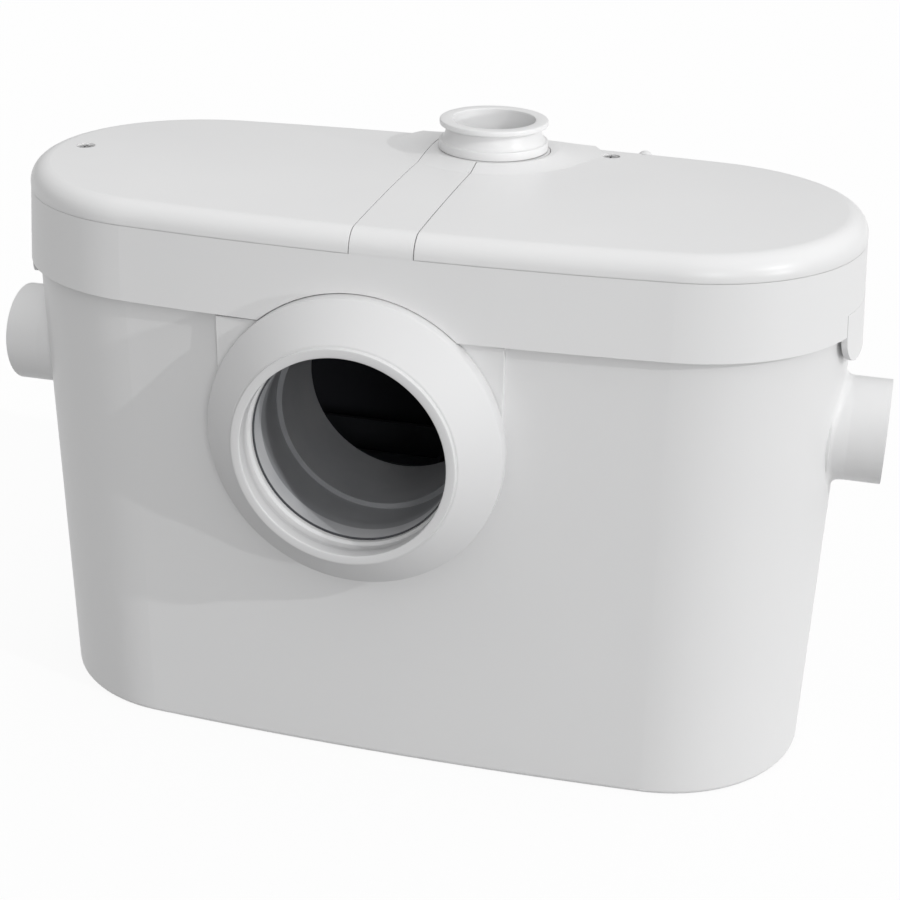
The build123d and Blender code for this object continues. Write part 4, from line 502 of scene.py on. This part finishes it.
def screwTree(material, s):
    tree = bpy.data.node_groups.new("crossScrews", "GeometryNodeTree")
    tree.interface.new_socket(name="Geometry", in_out="INPUT", socket_type="NodeSocketGeometry")
    for label in ("Head Radius", "Head Height", "Shank Radius", "Length", "Slot Width", "Slot Depth"):
        tree.interface.new_socket(name=label, in_out="INPUT", socket_type="NodeSocketFloat")
    tree.interface.new_socket(name="Turn", in_out="INPUT", socket_type="NodeSocketVector")
    tree.interface.new_socket(name="Geometry", in_out="OUTPUT", socket_type="NodeSocketGeometry")
    given = tree.nodes.new("NodeGroupInput")
    size = {out.name: Sock(tree, out) for out in given.outputs if out.name}
    add = lambda kind, settings=None, inputs=None, output=0: addNode(tree, kind, settings, inputs, output)
    at = add("GeometryNodeInputPosition")
    x, y, z = (add("ShaderNodeSeparateXYZ", {}, [at], output=k) for k in range(3))
    headHeight, headRadius = size["Head Height"], size["Head Radius"]
    head = add("GeometryNodeMeshCylinder", {}, {
        "Vertices": s["headSides"], "Side Segments": s["headSteps"], "Fill Segments": s["headRings"],
        "Radius": headRadius, "Depth": headHeight})
    share = (x * x + y * y) / (headRadius * headRadius)
    drop = 0 - share * share * headHeight * s["crownShare"] * (z / headHeight + 0.5)
    crowned = add("GeometryNodeSetPosition", {}, {
        "Geometry": head, "Offset": add("ShaderNodeCombineXYZ", {}, {"Z": drop})})
    slotLong, slotWide, slotDeep = headRadius * s["slotReach"], size["Slot Width"], size["Slot Depth"] * 2
    bars = add("GeometryNodeJoinGeometry")
    for across in ((slotLong, slotWide), (slotWide, slotLong)):
        bar = add("GeometryNodeMeshCube", {}, {
            "Size": add("ShaderNodeCombineXYZ", {}, {"X": across[0], "Y": across[1], "Z": slotDeep})})
        lifted = add("GeometryNodeTransform", {}, {
            "Geometry": bar, "Translation": add("ShaderNodeCombineXYZ", {}, {"Z": headHeight * 0.5})})
        tree.links.new(lifted.out, bars.out.node.inputs[0])
    cut = add("GeometryNodeMeshBoolean", {"operation": "DIFFERENCE"}, {"Mesh 1": crowned, "Mesh 2": bars})
    seated = add("GeometryNodeTransform", {}, {
        "Geometry": cut, "Translation": add("ShaderNodeCombineXYZ", {}, {"Z": headHeight * -0.5})})
    length = size["Length"] - headHeight * s["headSink"]
    shank = add("GeometryNodeMeshCylinder", {}, {
        "Vertices": s["shankSides"], "Side Segments": s["shankSteps"], "Fill Segments": 1,
        "Radius": size["Shank Radius"], "Depth": length})
    wave = add("ShaderNodeMath", {"operation": "SINE"}, [z * (2 * math.pi * s["ridges"]) / length])
    ridge = wave * s["ridgeShare"] - s["ridgeShare"]
    ridged = add("GeometryNodeSetPosition", {}, {
        "Geometry": shank, "Offset": add("ShaderNodeCombineXYZ", {}, {"X": x * ridge, "Y": y * ridge})})
    drawn = add("ShaderNodeCombineXYZ", {}, {"Z": 0 - headHeight * s["headSink"] - length * 0.5})
    hung = add("GeometryNodeTransform", {}, {"Geometry": ridged, "Translation": drawn})
    whole = add("GeometryNodeJoinGeometry")
    for piece in (seated, hung):
        tree.links.new(piece.out, whole.out.node.inputs[0])
    spin = add("FunctionNodeEulerToRotation", {}, [size["Turn"]])
    placed = add("GeometryNodeInstanceOnPoints", {}, {
        "Points": size["Geometry"], "Instance": whole, "Rotation": spin})
    real = add("GeometryNodeRealizeInstances", {}, {"Geometry": placed})
    finished = add("GeometryNodeSetMaterial", {}, {"Geometry": real})
    finished.out.node.inputs["Material"].default_value = material
    end = tree.nodes.new("NodeGroupOutput")
    tree.links.new(finished.out, end.inputs[0])
    return tree


# The separate solids of a node, each as a list of its corners
def solidsOf(node):
    shape = bmesh.new()
    shape.from_mesh(frame["nodes"][node].data)
    bmesh.ops.remove_doubles(shape, verts=shape.verts, dist=solidWeld)
    left = set(shape.verts)
    found = []
    while left:
        queue = [left.pop()]
        solid = []
        while queue:
            one = queue.pop()
            solid.append(one.co.copy())
            for link in one.link_edges:
                other = link.other_vert(one)
                if other in left:
                    left.remove(other)
                    queue.append(other)
        found.append(solid)
    shape.free()
    return sorted(found, key=lambda solid: tuple(round(v, 4) for v in solid[0]))


# The head's place and the sizes of one screw, read from its solid. What lies beyond
# rimShare of the head's radius is head, and the shank starts at clearShare of its height
rimShare = 0.8
clearShare = 1.2


def screwFacts(solid, axis):
    low = [min(q[k] for q in solid) for k in range(3)]
    high = [max(q[k] for q in solid) for k in range(3)]
    sides = [k for k in range(3) if k != axis]
    middle = [(low[k] + high[k]) / 2 for k in range(3)]
    away = lambda q: math.hypot(*(q[k] - middle[k] for k in sides))
    headRadius = max(away(q) for q in solid)
    headPart = [q[axis] for q in solid if away(q) > rimShare * headRadius]
    nearHigh = high[axis] - max(headPart) < min(headPart) - low[axis]
    headEnd = high[axis] if nearHigh else low[axis]
    headHeight = max(abs(headEnd - v) for v in headPart)
    rest = [away(q) for q in solid if abs(q[axis] - headEnd) > headHeight * clearShare]
    place = list(middle)
    place[axis] = headEnd
    return place, nearHigh, headRadius, headHeight, max(rest), high[axis] - low[axis]


screwSets = {
    "left_hatch_screw": {"axis": 2}, "right_hatch_screw": {"axis": 2}, "access_screws": {"axis": 2},
    "volute_screws": {"axis": 0}, "motor_cap_screws": {"axis": 0},
}


def makeScrews(sets, look):
    tree = screwTree(steelTurned, look)
    inputs = {item.name: item.identifier for item in tree.interface.items_tree if item.in_out == "INPUT"}
    for node, s in sets.items():
        facts = [screwFacts(solid, s["axis"]) for solid in solidsOf(node)]
        _, nearHigh, headRadius, headHeight, shankRadius, length = facts[0]
        turn = (0, 0, 0) if nearHigh else (math.pi, 0, 0)
        if s["axis"] == 0:
            turn = (0, math.pi / 2 if nearHigh else -math.pi / 2, 0)
        mesh = bpy.data.meshes.new(node + "_points")
        mesh.from_pydata([fact[0] for fact in facts], [], [])
        holder = bpy.data.objects.new(node + "_points", mesh)
        bpy.context.collection.objects.link(holder)
        maker = holder.modifiers.new("crossScrews", "NODES")
        maker.node_group = tree
        values = {
            "Head Radius": headRadius, "Head Height": headHeight, "Shank Radius": shankRadius,
            "Length": length, "Slot Width": headRadius * look["slotWidth"],
            "Slot Depth": headHeight * look["slotDepth"], "Turn": turn,
        }
        for label, value in values.items():
            maker[inputs[label]] = value
        made = holder.evaluated_get(bpy.context.evaluated_depsgraph_get())
        plain = bpy.data.meshes.new_from_object(made)
        holder.modifiers.clear()
        bpy.data.objects.remove(holder)
        piece = bpy.data.objects.new(node + "_made", plain)
        bpy.context.collection.objects.link(piece)
        putInPlace(piece, node, steelTurned)
        print("  ", node, len(facts), "screws,", len(plain.polygons), "faces")


makeScrews(screwSets, screwLook)
print("stage: screws")


# Studio: two lamps from the right, one high and one low, a broad lamp from the front,
# a sky that is duller low down and on the left, and a pale floor
studio = {
    "lamps": (
        {"name": "keyLamp", "travel": (-2.8, 1.0, -1.6), "strength": 0.75, "angle": 0.7},
        {"name": "lowLamp", "travel": (-2.6, 1.0, -0.28), "strength": 0.52, "angle": 1.0},
        {"name": "frontLamp", "travel": (-0.5, 1.0, -0.35), "strength": 0.50, "angle": 14.0},
    ),
    "skyTop": 1.02, "skyLow": 0.32, "leftShare": 0.60, "heightSpan": (-0.1, 0.9), "sideSpan": (-0.9, 0.0),
    "floorReach": 6.0, "floorPale": 0.95, "floorUnder": 0.28, "floorShow": 0.9,
}


def makeLamps(lamps):
    for one in lamps:
        lamp = bpy.data.lights.new(one["name"], "SUN")
        lamp.energy = one["strength"]
        lamp.angle = math.radians(one["angle"])
        holder = bpy.data.objects.new(one["name"], lamp)
        holder.rotation_euler = Vector(one["travel"]).to_track_quat("-Z", "Y").to_euler()
        bpy.context.collection.objects.link(holder)


# The sky lights the piece, while the camera sees plain white
def makeSky(s):
    world = bpy.data.worlds.new("studioSky")
    bpy.context.scene.world = world
    world.use_nodes = True
    tree = world.node_tree
    tree.nodes.clear()
    direction = addNode(tree, "ShaderNodeTexCoord", output=0)
    height = addNode(tree, "ShaderNodeSeparateXYZ", {}, [direction], output=2)
    side = addNode(tree, "ShaderNodeSeparateXYZ", {}, [direction], output=0)
    leftFall = clamped(tree, side, *s["sideSpan"]) * (1 - s["leftShare"]) + s["leftShare"]
    glow = (clamped(tree, height, *s["heightSpan"]) * (s["skyTop"] - s["skyLow"]) + s["skyLow"]) * leftFall
    seen = addNode(tree, "ShaderNodeLightPath", output=0)
    level = glow * (1 - seen) + seen
    backdrop = addNode(tree, "ShaderNodeBackground", {}, {"Color": (1, 1, 1, 1), "Strength": level})
    end = tree.nodes.new("ShaderNodeOutputWorld")
    tree.links.new(backdrop.out, end.inputs["Surface"])


# The floor shows pale and glows to the camera, and throws less light up at the piece
def makeFloor(s):
    mesh = bpy.data.meshes.new("studioFloor")
    reach = s["floorReach"]
    corners = [(-reach, -reach, 0), (reach, -reach, 0), (reach, reach, 0), (-reach, reach, 0)]
    mesh.from_pydata(corners, [], [(0, 1, 2, 3)])
    floor = bpy.data.objects.new("studioFloor", mesh)
    bpy.context.collection.objects.link(floor)
    material, tree = newMaterial("studioFloor")
    rays = tree.nodes.new("ShaderNodeLightPath")
    shown = addNode(tree, "ShaderNodeMath", {"operation": "MAXIMUM"},
                    [Sock(tree, rays.outputs["Is Camera Ray"]), Sock(tree, rays.outputs["Is Glossy Ray"])])
    shown = addNode(tree, "ShaderNodeMath", {"operation": "MAXIMUM"},
                    [shown, Sock(tree, rays.outputs["Is Transmission Ray"])])
    tone = tinted(tree, shown, (s["floorUnder"],) * 3, (s["floorPale"],) * 3)
    matt = addNode(tree, "ShaderNodeBsdfDiffuse", {}, {"Color": tone})
    glow = addNode(tree, "ShaderNodeEmission", {}, {"Color": (1, 1, 1, 1), "Strength": 1.0})
    blend = addNode(tree, "ShaderNodeMixShader", {}, [shown * s["floorShow"], matt, glow])
    end = tree.nodes.new("ShaderNodeOutputMaterial")
    tree.links.new(blend.out, end.inputs["Surface"])
    mesh.materials.append(material)


makeLamps(studio["lamps"])
makeSky(studio)
makeFloor(studio)

print("stage: done")
